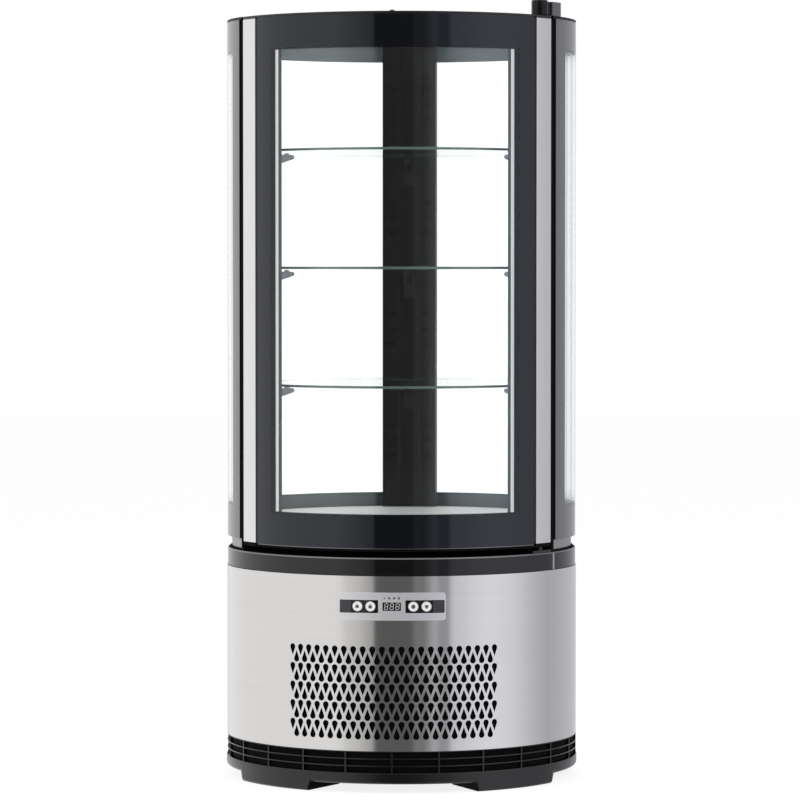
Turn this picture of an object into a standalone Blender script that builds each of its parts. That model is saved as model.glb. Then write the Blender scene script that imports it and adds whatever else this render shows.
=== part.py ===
"""Round refrigerated cake display case for a counter or a table.

Metres, +Z up. The origin is on the case's upright axis, at the level that the feet stand on.
The front is towards -Y. A bearing is an angle in degrees about the axis, 0 at the front and
growing towards +X, so that a place is given by its radius, its bearing and its height.
"""
import math

import bmesh
import bpy
from mathutils import Matrix, Vector
from mathutils.geometry import delaunay_2d_cdt

for old_object in list(bpy.data.objects):
    bpy.data.objects.remove(old_object, do_unlink=True)

# Round outlines have one corner every FACET_STEP degrees, at the same bearings on every piece
FACET_STEP = 7.5
FULL_TURN = 360.0
HALF_TURN = 180.0

# Outer radius of the glass and of the rim ring, which the other round sizes follow
CASE_RADIUS = 0.2240

# Clearances
FIT_GAP = 0.0003
CUT_OVERRUN = 0.0010
JOIN_OVERLAP = 0.0005
FLAT_SEAT_GAP = 0.0008

# How the flat patterns of pierced sheets are worked out
KEEP_ONLY_INSIDE = 1
SAME_POINT = 1e-7

# Moulded base tray, with its louvre band and four feet
TRAY_STEP = 0.0020
TRAY_WALL = 0.0040
TRAY_BOTTOM = 0.0114
TRAY_RIM_TOP = 0.0255
TRAY_FLOOR = 0.0030
TRAY_FLOOR_LIP = 0.0005
LOUVRE_BAR = 0.0013
LOUVRE_ROWS = 3
LOUVRE_PITCH = 15.0
LOUVRE_RIB_WIDTH = 0.0020
TRAY_FLANGE = 0.0055
FOOT_LIP = 0.0008
FOOT_START = 27.0
FOOT_END = 61.7
FOOT_REACH = 0.0780

# Wrapped skirt, with its field of drop-shaped vents
SKIRT_STEP = 0.0010
SKIRT_SHEET = 0.0010
SKIRT_BOTTOM = 0.0524
SKIRT_HEIGHT = 0.2173
SKIRT_END = 157.5
SHEET_HEM = 0.0080
VENT_FIELD_DROP = 0.0869
VENT_FIELD_MARGIN = 0.0100
VENT_PAIR_PITCH = 0.0233
VENT_PAIR_HEIGHT = 0.0227
VENTS_IN_UPPER_ROW = 23
VENT_PITCH = 3.09
DROP_LENGTH = 0.0129
DROP_RADIUS = 0.0034
DROP_ROUND_TURNS = (70.0, 140.0, 220.0, 290.0)

# Service panel at the back, between the skirt's ends
PANEL_GAP_TURN = 0.3
PANEL_SLOT_WIDTH = 4.5
PANEL_SLOT_HEIGHT = 0.0050
PANEL_SLOT_PITCH = 0.0150
PANEL_SLOT_ROWS = 6
PANEL_SLOT_COLUMNS = 4
PANEL_SLOT_STEP = 7.5
PANEL_SLOT_RISE = 0.0976

# Mains inlet in the service panel
INLET_BEARING = 180.0
INLET_WIDTH = 0.0280
INLET_HEIGHT = 0.0240
INLET_DEPTH = 0.0220
INLET_RISE = 0.0376
INLET_WALL = 0.0020
INLET_FLOOR = 0.0030
INLET_PIN_WIDTH = 0.0020
INLET_PIN_HEIGHT = 0.0050
INLET_PIN_LENGTH = 0.0120
INLET_PIN_STEP = 0.0070

# Control panel on the front of the skirt
BEZEL_PROUD = 0.0007
BEZEL_SHEET = 0.0012
BEZEL_TURN = 17.15
BEZEL_DROP = 0.0202
BEZEL_HEIGHT = 0.0345
OPENING_START = 4.3
OPENING_END = 16.8
OPENING_HEIGHT = 0.0160
FASCIA_DEPTH = 0.0067
FASCIA_MARGIN = 0.0020
OPENING_RISE = 0.0172
BUTTON_RADIUS = 0.00615
BUTTON_PROUD = 0.0002
BUTTON_LENGTH = 0.0076
BUTTON_SIDES = 16
BUTTON_INNER_BEARING = 6.8
BUTTON_OUTER_BEARING = 11.0
WINDOW_TURN = 2.9
WINDOW_HEIGHT = 0.0104
CONTROL_BOX_DEPTH = 0.0322
CONTROL_BOX_TURN = 16.5
CONTROL_BOX_MARGIN = 0.0015

# Black rim ring that the glass housing stands on
RIM_WIDTH = 0.0290
RIM_HEIGHT = 0.0222

# Double glazing, the same on the door and on the two side panels
PANE = 0.0040
SPACER_DEPTH = 0.0059
SPACER_WIDTH = 0.0100
DOOR_SPACER_WIDTH = 0.0120
DOOR_SPACER_END_INSET = 0.0291
DOOR_SPACER_SIDE_INSET = 0.0295
SIDE_GLASS_RISE = 0.0151
SIDE_GLASS_HEIGHT = 0.6564
SIDE_GLASS_START = 63.3
NECK_INSET = 0.0055
NECK_WALL = 0.0077

# Door
DOOR_RISE = 0.0076
BOTTOM_RAIL_HEIGHT = 0.0043
TOP_RAIL_HEIGHT = 0.0027
DOOR_GLASS_TURN = 50.9
BOTTOM_RAIL_INSET = 0.0012
PROFILE_START = 51.2
PROFILE_END = 60.2
PROFILE_BOTTOM_INSET = 0.0047
PROFILE_TOP_INSET = 0.0057
PROFILE_WALL = 0.0020
GASKET_TURN = 54.6
GASKET_WIDTH = 0.0150
GASKET_DEPTH = 0.0142
RAIL_CAP_MARGIN = 0.0003

# Door hinge
PIVOT_INSET = 0.0085
PIVOT_BEARING = 56.5
PIN_RADIUS = 0.0040
PIN_SIDES = 16
BORE_CLEARANCE = 0.0003
BOSS_RADIUS = 0.0100
BOSS_SIDES = 24
BOSS_HEIGHT = 0.0190
HINGE_FLOAT = 0.0008
HINGE_BLOCK_START = 60.9
HINGE_BLOCK_END = 64.8
HINGE_BLOCK_DEPTH = 0.0220
HINGE_BLOCK_HEIGHT = 0.0175
HINGE_ARM_WIDTH = 0.0110
HINGE_PLATE_START = 51.0
HINGE_PLATE_END = 61.0
HINGE_PLATE_INSET = 0.0015
HINGE_PLATE_DEPTH = 0.0245
HINGE_PLATE = 0.0030
SWING_CLEARANCE = 0.0010

# Uprights
POST_DEPTH = 0.0222
POST_START = 63.3
POST_END = 70.5
FLANGE_START = 49.5
FLANGE_THICKNESS = 0.0042
NOSE_START = 61.4
NOSE_INSET = 0.0015
REAR_POST_WIDTH = 0.0710
REAR_SPINE_WIDTH = 0.0480
REAR_SPINE_GAP = 0.0009
REAR_POST_INSET = 0.0005
REAR_POST_WALL = 0.0025
REAR_POST_FRONT_WALL = 0.0030
CHANNEL_WIDTH = 0.0230
CHANNEL_DEPTH = 0.0015
OUTLET_WIDTH = 0.0120
OUTLET_HEIGHT = 0.0060
OUTLET_PITCH = 0.0200
OUTLETS_PER_BAY = 3
OUTLET_CLEARANCE = 0.0450
LIGHT_BAR_TURN = 45.0
LIGHT_BAR_INSET = 0.0012
LIGHT_BAR_WIDTH = 0.0070
LIGHT_BAR_HEIGHT = 0.0060

# Insulated floor and the deck on it
DECK_RISE = 0.0388
DECK_SHEET = 0.0030
DECK_INSET = 0.0047
NOTCH_TURN = 0.3
TUB_HALF_WIDTH = 0.1120
TUB_HALF_DEPTH = 0.0935
TUB_DEPTH = 0.0872
TUB_WALL = 0.0120
DUCT_HALF_WIDTH = 0.0280
DUCT_DEPTH = 0.0280

# Shelves and their brackets
SHELF_INSET = 0.0015
SHELF_GLASS = 0.0050
SHELF_PITCH = 0.1485
LOWEST_BAY_HEIGHT = 0.1710
SHELF_LEVELS = ("lower", "middle", "upper")
BRACKET_BEARING = 67.0
BRACKET_THICKNESS = 0.0050
BRACKET_LENGTH = 0.0410
BRACKET_TIP_HEIGHT = 0.0090
BRACKET_ROOT_HEIGHT = 0.0240
BRACKET_PLATE = 0.0025
BRACKET_PLATE_WIDTH = 0.0130
BRACKET_PLATE_HEIGHT = 0.0350
NUB_LENGTH = 0.0080
NUB_HEIGHT = 0.0014
NUB_INSET = 0.0040

# Top of the case
TOP_FRAME_HEIGHT = 0.0191
CEILING_LEDGE = 0.0040
CEILING_RISE = 0.0054
CEILING_SHEET = 0.0020
LID_THICKNESS = 0.0030

# Refrigeration parts inside the base
COMPRESSOR_PLACE = (-0.0600, 0.0350)
COMPRESSOR_RADIUS = 0.0580
COMPRESSOR_HEIGHT = 0.1300
COMPRESSOR_SIDES = 16
COMPRESSOR_PLATE_HALF = 0.0700
COMPRESSOR_PLATE = 0.0030
COMPRESSOR_PLATE_BAND = 0.0130
CONDENSER_LEFT = -0.0800
CONDENSER_RIGHT = 0.1100
CONDENSER_DEPTH = 0.0300
CONDENSER_INSET = 0.0680
CONDENSER_HEIGHT = 0.1400
CONDENSER_FINS = 12
EVAPORATOR_SIDE_GAP = 0.0100
EVAPORATOR_DEPTH = 0.0800
EVAPORATOR_GAP = 0.0100
EVAPORATOR_HEIGHT = 0.0700
EVAPORATOR_FINS = 10
FIN_CORE_SHARE = 0.35
FIN_THICKNESS_SHARE = 0.40
CONDENSER_FAN_SIZE = 0.1300
CONDENSER_FAN_X = 0.0150
CONDENSER_FAN_GAP = 0.0020
EVAPORATOR_FAN_SIZE = 0.0920
EVAPORATOR_FAN_X = 0.0
EVAPORATOR_FAN_GAP = 0.0380
FAN_DEPTH = 0.0250
FAN_WALL_SHARE = 0.0400
FAN_HUB_SHARE = 0.2000
FAN_TIP_GAP = 0.0020
FAN_BLADES = 5
FAN_BLADE_TWIST = 35.0
FAN_BLADE_THICKNESS = 0.0018
FAN_BLADE_CHORD_SHARE = 0.5000
FAN_MOTOR_DEPTH = 0.0080
FAN_HUB_INSET = 0.0010
FAN_STRUT_WIDTH = 0.0050
FAN_STRUT_DEPTH = 0.0040
FAN_STRUTS = 3
FAN_RING_SIDES = 24
FAN_HUB_SIDES = 16
DRIER_PLACE = (0.0700, -0.0300)
DRIER_RADIUS = 0.0110
DRIER_LENGTH = 0.0850
LIQUID_HEIGHT = 0.0450
PIPE_RADIUS = 0.0032
PIPE_BEND = 0.0180
PIPE_BEND_POINTS = 4
PIPE_RESOLUTION = 1
DISCHARGE_HEIGHT = 0.1150
SUCTION_HEIGHT = 0.0850
PIPE_TUB_X = 0.0400

# Heights, radii and places that follow from the sizes above
RIM_RADIUS = CASE_RADIUS
RIM_INNER_RADIUS = RIM_RADIUS - RIM_WIDTH
TRAY_RADIUS = CASE_RADIUS + TRAY_STEP
FOOT_INNER_RADIUS = TRAY_RADIUS - FOOT_REACH
SKIRT_RADIUS = CASE_RADIUS + SKIRT_STEP
LOUVRE_TOP = SKIRT_BOTTOM - FIT_GAP
SKIRT_TOP = SKIRT_BOTTOM + SKIRT_HEIGHT
VENT_FIELD_TOP = SKIRT_TOP - VENT_FIELD_DROP
VENT_FIELD_ROOM = VENT_FIELD_TOP - SKIRT_BOTTOM - VENT_FIELD_MARGIN
VENT_PAIRS = math.floor(VENT_FIELD_ROOM / VENT_PAIR_PITCH)
PANEL_SLOT_BASE = SKIRT_BOTTOM + PANEL_SLOT_RISE
INLET_CENTRE = SKIRT_BOTTOM + INLET_RISE
BEZEL_TOP = SKIRT_TOP - BEZEL_DROP
BEZEL_BOTTOM = BEZEL_TOP - BEZEL_HEIGHT
PANEL_MIDDLE = BEZEL_BOTTOM + OPENING_RISE
RIM_BOTTOM = SKIRT_TOP + FIT_GAP
RIM_TOP = RIM_BOTTOM + RIM_HEIGHT
SIDE_GLASS_BOTTOM = RIM_TOP + SIDE_GLASS_RISE
SIDE_GLASS_TOP = SIDE_GLASS_BOTTOM + SIDE_GLASS_HEIGHT
LID_UNDERSIDE = SIDE_GLASS_TOP + FIT_GAP
LID_TOP = LID_UNDERSIDE + LID_THICKNESS
TOP_FRAME_BOTTOM = SIDE_GLASS_TOP - TOP_FRAME_HEIGHT
CEILING_UNDERSIDE = TOP_FRAME_BOTTOM + CEILING_RISE
DOOR_BOTTOM = RIM_TOP + DOOR_RISE
DOOR_TOP = LID_TOP - FIT_GAP
DOOR_GLASS_BOTTOM = DOOR_BOTTOM + BOTTOM_RAIL_HEIGHT
DOOR_GLASS_TOP = DOOR_TOP - TOP_RAIL_HEIGHT
PROFILE_BOTTOM = DOOR_BOTTOM + PROFILE_BOTTOM_INSET
PROFILE_TOP = DOOR_TOP - PROFILE_TOP_INSET
HINGE_TOP = LID_TOP + BOSS_HEIGHT
HINGE_BLOCK_TOP = LID_TOP + HINGE_BLOCK_HEIGHT
DECK_TOP = RIM_TOP + DECK_RISE
LOWEST_SHELF_MIDDLE = DECK_TOP + LOWEST_BAY_HEIGHT
TUB_BOTTOM = RIM_TOP - TUB_DEPTH
SKIRT_INNER_RADIUS = SKIRT_RADIUS - SKIRT_SHEET
TRAY_FLANGE_RADIUS = SKIRT_INNER_RADIUS - FIT_GAP
TRAY_FLOOR_BOTTOM = TRAY_BOTTOM + TRAY_FLOOR_LIP
TRAY_FLOOR_TOP = TRAY_FLOOR_BOTTOM + TRAY_FLOOR
ON_TRAY = TRAY_FLOOR_TOP + FIT_GAP
ON_RIM = RIM_TOP + FIT_GAP
GLASS_RADIUS = CASE_RADIUS
OUTER_PANE_BACK = GLASS_RADIUS - PANE
SPACER_FACE = OUTER_PANE_BACK - FIT_GAP
SPACER_BACK = SPACER_FACE - SPACER_DEPTH
INNER_PANE_FACE = SPACER_BACK - FIT_GAP
INNER_PANE_BACK = INNER_PANE_FACE - PANE
REAR_GLASS_REACH = REAR_SPINE_WIDTH / 2 + REAR_SPINE_GAP
SIDE_GLASS_END = HALF_TURN - math.degrees(math.asin(REAR_GLASS_REACH / INNER_PANE_BACK))
BEHIND_GLASS = INNER_PANE_BACK - FIT_GAP
NECK_RADIUS = GLASS_RADIUS - NECK_INSET
NECK_INNER_RADIUS = NECK_RADIUS - NECK_WALL
BOTTOM_RAIL_RADIUS = GLASS_RADIUS - BOTTOM_RAIL_INSET
GASKET_FACE = BEHIND_GLASS - GASKET_DEPTH
PIVOT_RADIUS = GLASS_RADIUS - PIVOT_INSET
HINGE_BLOCK_INNER_RADIUS = GLASS_RADIUS - HINGE_BLOCK_DEPTH
HINGE_PLATE_OUTER_RADIUS = GLASS_RADIUS - HINGE_PLATE_INSET
HINGE_PLATE_INNER_RADIUS = HINGE_PLATE_OUTER_RADIUS - HINGE_PLATE_DEPTH
POST_INNER_RADIUS = BEHIND_GLASS - POST_DEPTH
FLANGE_OUTER_RADIUS = GASKET_FACE - FIT_GAP
FLANGE_INNER_RADIUS = FLANGE_OUTER_RADIUS - FLANGE_THICKNESS
NOSE_RADIUS = GLASS_RADIUS - NOSE_INSET
REAR_POST_FACE = POST_INNER_RADIUS
REAR_POST_RADIUS = GLASS_RADIUS - REAR_POST_INSET
LIGHT_BAR_OUTER_RADIUS = FLANGE_OUTER_RADIUS - LIGHT_BAR_INSET
LIGHT_BAR_INNER_RADIUS = LIGHT_BAR_OUTER_RADIUS - LIGHT_BAR_WIDTH
DECK_RADIUS = BEHIND_GLASS - DECK_INSET
SHELF_RADIUS = POST_INNER_RADIUS - SHELF_INSET
BRACKET_TIP_RADIUS = POST_INNER_RADIUS - BRACKET_LENGTH
TOP_FRAME_INNER_RADIUS = FLANGE_INNER_RADIUS
POST_TOP = TOP_FRAME_BOTTOM - FIT_GAP
FLOOR_TOP = DECK_TOP - DECK_SHEET - FIT_GAP
TUB_FLOOR = TUB_BOTTOM + TUB_WALL
BENEATH_TUB = TUB_BOTTOM - FIT_GAP
COMPRESSOR_POT_BOTTOM = ON_TRAY + COMPRESSOR_PLATE - JOIN_OVERLAP
BEZEL_FACE = SKIRT_RADIUS + BEZEL_PROUD
BEZEL_BACK = BEZEL_FACE - BEZEL_SHEET
FASCIA_FACE = BEZEL_BACK - FIT_GAP
FASCIA_BACK = FASCIA_FACE - FASCIA_DEPTH
BUTTON_FACE = BEZEL_FACE + BUTTON_PROUD
BUTTON_BACK = BUTTON_FACE - BUTTON_LENGTH
CONTROL_BOX_FACE = FASCIA_BACK - FIT_GAP
CONTROL_BOX_BACK = CONTROL_BOX_FACE - CONTROL_BOX_DEPTH
FRONT_EDGE_RADIUS = FLANGE_OUTER_RADIUS - FIT_GAP
PIVOT_HEIGHT = RIM_TOP + FIT_GAP + HINGE_PLATE
CONDENSER_FRONT = CONDENSER_INSET - SKIRT_INNER_RADIUS
CONDENSER_BACK = CONDENSER_FRONT + CONDENSER_DEPTH
CONDENSER_FAN_FRONT = CONDENSER_BACK + CONDENSER_FAN_GAP
EVAPORATOR_HALF_WIDTH = TUB_HALF_WIDTH - TUB_WALL - EVAPORATOR_SIDE_GAP
EVAPORATOR_FAN_FRONT = TUB_HALF_DEPTH - TUB_WALL - EVAPORATOR_FAN_GAP - FAN_DEPTH
EVAPORATOR_BACK = EVAPORATOR_FAN_FRONT - EVAPORATOR_GAP
EVAPORATOR_FRONT = EVAPORATOR_BACK - EVAPORATOR_DEPTH


# Materials

def make_material(name, colour, roughness, metallic=0.0, alpha=1.0):
    material = bpy.data.materials.new(name)
    material.use_nodes = True
    shader = material.node_tree.nodes["Principled BSDF"]
    shader.inputs["Base Color"].default_value = (*colour, 1.0)
    shader.inputs["Roughness"].default_value = roughness
    shader.inputs["Metallic"].default_value = metallic
    shader.inputs["Alpha"].default_value = alpha
    return material


BLACK_PLASTIC = make_material("black_plastic", (0.030, 0.030, 0.032), 0.45)
GLOSS_BLACK = make_material("gloss_black", (0.008, 0.008, 0.009), 0.12)
BRUSHED_STEEL = make_material("brushed_steel", (0.62, 0.61, 0.60), 0.32, 1.0)
SATIN_ALUMINIUM = make_material("satin_aluminium", (0.72, 0.72, 0.73), 0.38, 1.0)
CLEAR_GLASS = make_material("clear_glass", (0.86, 0.91, 0.90), 0.02, 0.0, 0.25)
WHITE_ENAMEL = make_material("white_enamel", (0.75, 0.76, 0.76), 0.30)
GREY_METAL = make_material("grey_metal", (0.40, 0.41, 0.42), 0.40, 1.0)
BLACK_RUBBER = make_material("black_rubber", (0.015, 0.015, 0.015), 0.80)
BLACK_STEEL = make_material("black_steel", (0.020, 0.020, 0.020), 0.40)
COPPER = make_material("copper", (0.75, 0.38, 0.24), 0.30, 1.0)
WHITE_BUTTON = make_material("white_button", (0.80, 0.80, 0.78), 0.35)
FOAM = make_material("insulated_white", (0.70, 0.71, 0.70), 0.55)
LAMP_DIFFUSER = make_material("lamp_diffuser", (0.90, 0.90, 0.88), 0.50)


# Shapes

def facet_radius(radius, bearing):
    """Distance from the axis, at this bearing, of the many-sided outline of that radius."""
    half_facet = FACET_STEP / 2
    off_middle = bearing % FACET_STEP - half_facet
    return radius * math.cos(math.radians(half_facet)) / math.cos(math.radians(off_middle))


def spot(radius, bearing, height=0.0):
    """Place on the many-sided outline of a radius."""
    reach = facet_radius(radius, bearing)
    turn = math.radians(bearing)
    return Vector((reach * math.sin(turn), -reach * math.cos(turn), height))


def true_spot(radius, bearing, height=0.0):
    """Place at an exact distance from the axis."""
    turn = math.radians(bearing)
    return Vector((radius * math.sin(turn), -radius * math.cos(turn), height))


def arc_stops(first, last):
    """The two end bearings and the facet corners between them."""
    stops = [first]
    corner = (math.floor(first / FACET_STEP) + 1) * FACET_STEP
    while corner < last:
        stops.append(corner)
        corner += FACET_STEP
    stops.append(last)
    return stops


def arc_points(radius, first, last):
    """Plan points along an arc, from the first bearing to the last, either way round."""
    if first > last:
        return arc_points(radius, last, first)[::-1]
    return [spot(radius, bearing).xy for bearing in arc_stops(first, last)]


def turned_to(bearing):
    """Transform that carries a shape made at the front round to a bearing."""
    return Matrix.Rotation(math.radians(bearing), 4, "Z")


def add_loops(shape, loops, closed):
    """Skin rings of points of equal count; the last ring meets the first where closed."""
    rings = [[shape.verts.new(point) for point in loop] for loop in loops]
    pairs = list(zip(rings, rings[1:]))
    if closed:
        pairs.append((rings[-1], rings[0]))
    for ring, following in pairs:
        for index in range(len(ring)):
            after = (index + 1) % len(ring)
            shape.faces.new((ring[index], ring[after], following[after], following[index]))
    if not closed:
        shape.faces.new(rings[0])
        shape.faces.new(rings[-1])


def add_sweep(shape, profile, first=0.0, last=FULL_TURN):
    """Carry a profile of (radius, height) corners round the axis between two bearings."""
    closed = last - first >= FULL_TURN
    stops = arc_stops(first, last)
    if closed:
        stops = stops[:-1]
    loops = [[spot(radius, stop, height) for radius, height in profile] for stop in stops]
    add_loops(shape, loops, closed)


def add_band(shape, inner, outer, low, high, first=0.0, last=FULL_TURN):
    """A ring or an arc of rectangular section."""
    profile = ((inner, low), (outer, low), (outer, high), (inner, high))
    add_sweep(shape, profile, first, last)


def add_prism(shape, outline, low, high):
    """An upright prism on a plan outline."""
    loops = [[(point[0], point[1], height) for point in outline] for height in (low, high)]
    add_loops(shape, loops, closed=False)


def add_block(shape, low, high):
    """A block between its lowest and highest corners."""
    outline = ((low[0], low[1]), (high[0], low[1]), (high[0], high[1]), (low[0], high[1]))
    add_prism(shape, outline, low[2], high[2])


def add_turned(shape, profile, sides, place=Matrix.Identity(4)):
    """Turn a profile of (radius, height) corners about its own upright axis, then place it."""
    loops = []
    for index in range(sides):
        turn = math.tau * index / sides
        loops.append([place @ Vector((radius * math.cos(turn), radius * math.sin(turn), height))
                      for radius, height in profile])
    rings = [[shape.verts.new(point) for point in ring] for ring in zip(*loops)]
    for ring, following in zip(rings, rings[1:]):
        for index in range(sides):
            after = (index + 1) % sides
            shape.faces.new((ring[index], ring[after], following[after], following[index]))
    shape.faces.new(rings[0])
    shape.faces.new(rings[-1])


def add_pin(shape, radius, low, high, sides, place=Matrix.Identity(4)):
    """A plain round pin."""
    add_turned(shape, ((radius, low), (radius, high)), sides, place)


def add_pierced_wall(shape, stops, levels, is_open):
    """A curved wall of cells between bearings and levels; is_open tells which cells are left out.

    Each level is its height with the outer and inner radius there. The wall closes on itself
    where the stops run a full turn.
    """
    closed = stops[-1] - stops[0] >= FULL_TURN
    columns = len(stops) - 1
    rows = len(levels) - 1
    corners = {}

    def corner(column, row, side):
        key = (column % columns if closed else column, row, side)
        if key not in corners:
            height = levels[row][0]
            corners[key] = shape.verts.new(spot(levels[row][1 + side], stops[key[0]], height))
        return corners[key]

    def is_solid(column, row):
        if closed:
            column %= columns
        inside = 0 <= column < columns and 0 <= row < rows
        return inside and not is_open(column, row)

    for column in range(columns):
        for row in range(rows):
            if not is_solid(column, row):
                continue
            right = column + 1
            above = row + 1
            for side in (0, 1):
                shape.faces.new([corner(*where, side) for where in
                                 ((column, row), (right, row), (right, above), (column, above))])
            edges = (((column - 1, row), (column, row), (column, above)),
                     ((right, row), (right, row), (right, above)),
                     ((column, row - 1), (column, row), (right, row)),
                     ((column, above), (column, above), (right, above)))
            for neighbour, start, end in edges:
                if not is_solid(*neighbour):
                    shape.faces.new((corner(*start, 0), corner(*end, 0),
                                     corner(*end, 1), corner(*start, 1)))


def add_frame_wall(shape, inner, outer, low, high, first, last, width):
    """A curved window frame: a band of one width round an open middle."""
    side_turn = math.degrees(width / outer)
    stops = sorted({*arc_stops(first, last), first + side_turn, last - side_turn})
    levels = [(height, outer, inner) for height in (low, low + width, high - width, high)]

    def is_open(column, row):
        return row == 1 and first + side_turn <= stops[column] < last - side_turn

    add_pierced_wall(shape, stops, levels, is_open)


def add_pierced_sheet(shape, first, last, low, high, outer, inner, holes, plain_beyond):
    """A curved sheet with shaped holes, worked out flat and then wrapped round the axis.

    Holes are lists of (bearing, height). Past the bearings in plain_beyond the sheet has no
    holes, and its facets there run straight from bottom to top; elsewhere they do so in a hem.
    """
    def flat(bearing, height):
        return Vector((math.radians(bearing) * outer, height))

    stops = arc_stops(first, last)
    count = len(stops)
    points = [flat(stop, height) for height in (low, low + SHEET_HEM, high - SHEET_HEM, high)
              for stop in stops]
    bottom, lower, upper, top = (range(row * count, (row + 1) * count) for row in range(4))
    outlines = [[*bottom, *reversed(top)]]
    folds = [*zip(bottom, lower), *zip(upper, top), *zip(lower, lower[1:]), *zip(upper, upper[1:])]
    folds += [(below, above) for below, above, stop in zip(lower, upper, stops)
              if not plain_beyond[0] < stop < plain_beyond[1]]
    for hole in holes:
        outlines.append(list(range(len(points), len(points) + len(hole))))
        points.extend(flat(bearing, height) for bearing, height in hole)
    flat_points, _, faces, _, _, origins = delaunay_2d_cdt(points, folds, outlines,
                                                         KEEP_ONLY_INSIDE, SAME_POINT)
    kept = [face for face, origin in zip(faces, origins) if len(origin) == 1]
    walls = []
    for radius in (outer, inner):
        walls.append([shape.verts.new(spot(radius, math.degrees(point.x / outer), point.y))
                      for point in flat_points])
    edges = set()
    for face in kept:
        for wall in walls:
            shape.faces.new([wall[index] for index in face])
        for start, end in zip(face, face[1:] + face[:1]):
            edges.add((start, end))
    for start, end in edges:
        if (end, start) not in edges:
            shape.faces.new((walls[0][start], walls[0][end], walls[1][end], walls[1][start]))


def finish(name, shape, material, origin=(0.0, 0.0, 0.0)):
    """Make a shape into a named object whose own origin is at the place given."""
    bmesh.ops.recalc_face_normals(shape, faces=shape.faces)
    bmesh.ops.translate(shape, verts=shape.verts, vec=-Vector(origin))
    mesh = bpy.data.meshes.new(name)
    shape.to_mesh(mesh)
    shape.free()
    mesh.materials.append(material)
    piece = bpy.data.objects.new(name, mesh)
    piece.location = origin
    bpy.context.scene.collection.objects.link(piece)
    return piece


def use_tool(piece, tool_name, shape, operation):
    """Cut or join a piece with a shape, by a Boolean modifier that keeps the tool as a guide."""
    tool = finish(tool_name, shape, piece.data.materials[0])
    tool.hide_render = True
    tool.display_type = "WIRE"
    modifier = piece.modifiers.new(tool_name, "BOOLEAN")
    modifier.operation = operation
    modifier.solver = "EXACT"
    modifier.object = tool
    return piece


def mirrored_spans(first, last):
    """A span of bearings on the right, and the same span on the left."""
    return ((first, last), (-last, -first))


# Base tray with its feet

def foot_spans():
    """Bearings that the four feet cover."""
    spans = []
    for first, last in ((FOOT_START, FOOT_END), (HALF_TURN - FOOT_END, HALF_TURN - FOOT_START)):
        spans.append((first, last))
        spans.append((FULL_TURN - last, FULL_TURN - first))
    return sorted(spans)


def make_base_tray():
    rib_half_turn = math.degrees(LOUVRE_RIB_WIDTH / 2 / SKIRT_RADIUS)
    stops = set()
    ribs = round(FULL_TURN / LOUVRE_PITCH)
    for index in range(ribs):
        middle = index * LOUVRE_PITCH
        stops.update((middle - rib_half_turn, middle + rib_half_turn, middle + LOUVRE_PITCH / 2))
    for span in foot_spans():
        stops.update(span)
    stops = sorted(stops)
    stops.append(stops[0] + FULL_TURN)

    louvre = (LOUVRE_TOP - TRAY_RIM_TOP - (LOUVRE_ROWS - 1) * LOUVRE_BAR) / LOUVRE_ROWS
    tray_inner = TRAY_RADIUS - TRAY_WALL
    levels = [(FOOT_LIP, TRAY_RADIUS, tray_inner), (TRAY_BOTTOM, TRAY_RADIUS, tray_inner)]
    height = TRAY_RIM_TOP
    levels.append((height, TRAY_RADIUS, tray_inner))
    for row in range(LOUVRE_ROWS):
        height += louvre
        outer = SKIRT_RADIUS if row < LOUVRE_ROWS - 1 else TRAY_FLANGE_RADIUS
        levels.append((height, outer, tray_inner))
        if row < LOUVRE_ROWS - 1:
            height += LOUVRE_BAR
            levels.append((height, outer, tray_inner))
    levels.append((height + TRAY_FLANGE, TRAY_FLANGE_RADIUS, tray_inner))
    louvre_rows = [2 + 2 * row for row in range(LOUVRE_ROWS)]

    def is_open(column, row):
        middle = (stops[column] + stops[column + 1]) / 2
        if row == 0:
            return not any(first < middle < last for first, last in foot_spans())
        from_rib = (middle + LOUVRE_PITCH / 2) % LOUVRE_PITCH - LOUVRE_PITCH / 2
        return row in louvre_rows and abs(from_rib) > rib_half_turn

    wall = bmesh.new()
    add_pierced_wall(wall, stops, levels, is_open)
    tray = finish("base_tray", wall, BLACK_PLASTIC)

    inside_wall = TRAY_RADIUS - TRAY_WALL / 2
    floor = bmesh.new()
    add_prism(floor, arc_points(inside_wall, 0.0, FULL_TURN)[:-1], TRAY_FLOOR_BOTTOM, TRAY_FLOOR_TOP)
    use_tool(tray, "guide_tray_floor", floor, "UNION")
    feet = bmesh.new()
    for first, last in foot_spans():
        inset = math.degrees(TRAY_WALL / TRAY_RADIUS)
        add_band(feet, FOOT_INNER_RADIUS, inside_wall, 0.0, TRAY_FLOOR_BOTTOM + TRAY_FLOOR / 2,
                 first + inset, last - inset)
    use_tool(tray, "guide_feet", feet, "UNION")


# Skirt and service panel

def drop_outline(bearing, round_end, points_up):
    """A vent's outline, anticlockwise: one tip and a round end of a few corners."""
    way = 1 if points_up else -1
    outline = [(bearing, round_end + way * (DROP_LENGTH - DROP_RADIUS))]
    for turn in DROP_ROUND_TURNS:
        across = -way * math.degrees(DROP_RADIUS * math.sin(math.radians(turn)) / SKIRT_RADIUS)
        along = way * DROP_RADIUS * math.cos(math.radians(turn))
        outline.append((bearing + across, round_end + along))
    return outline


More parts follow.
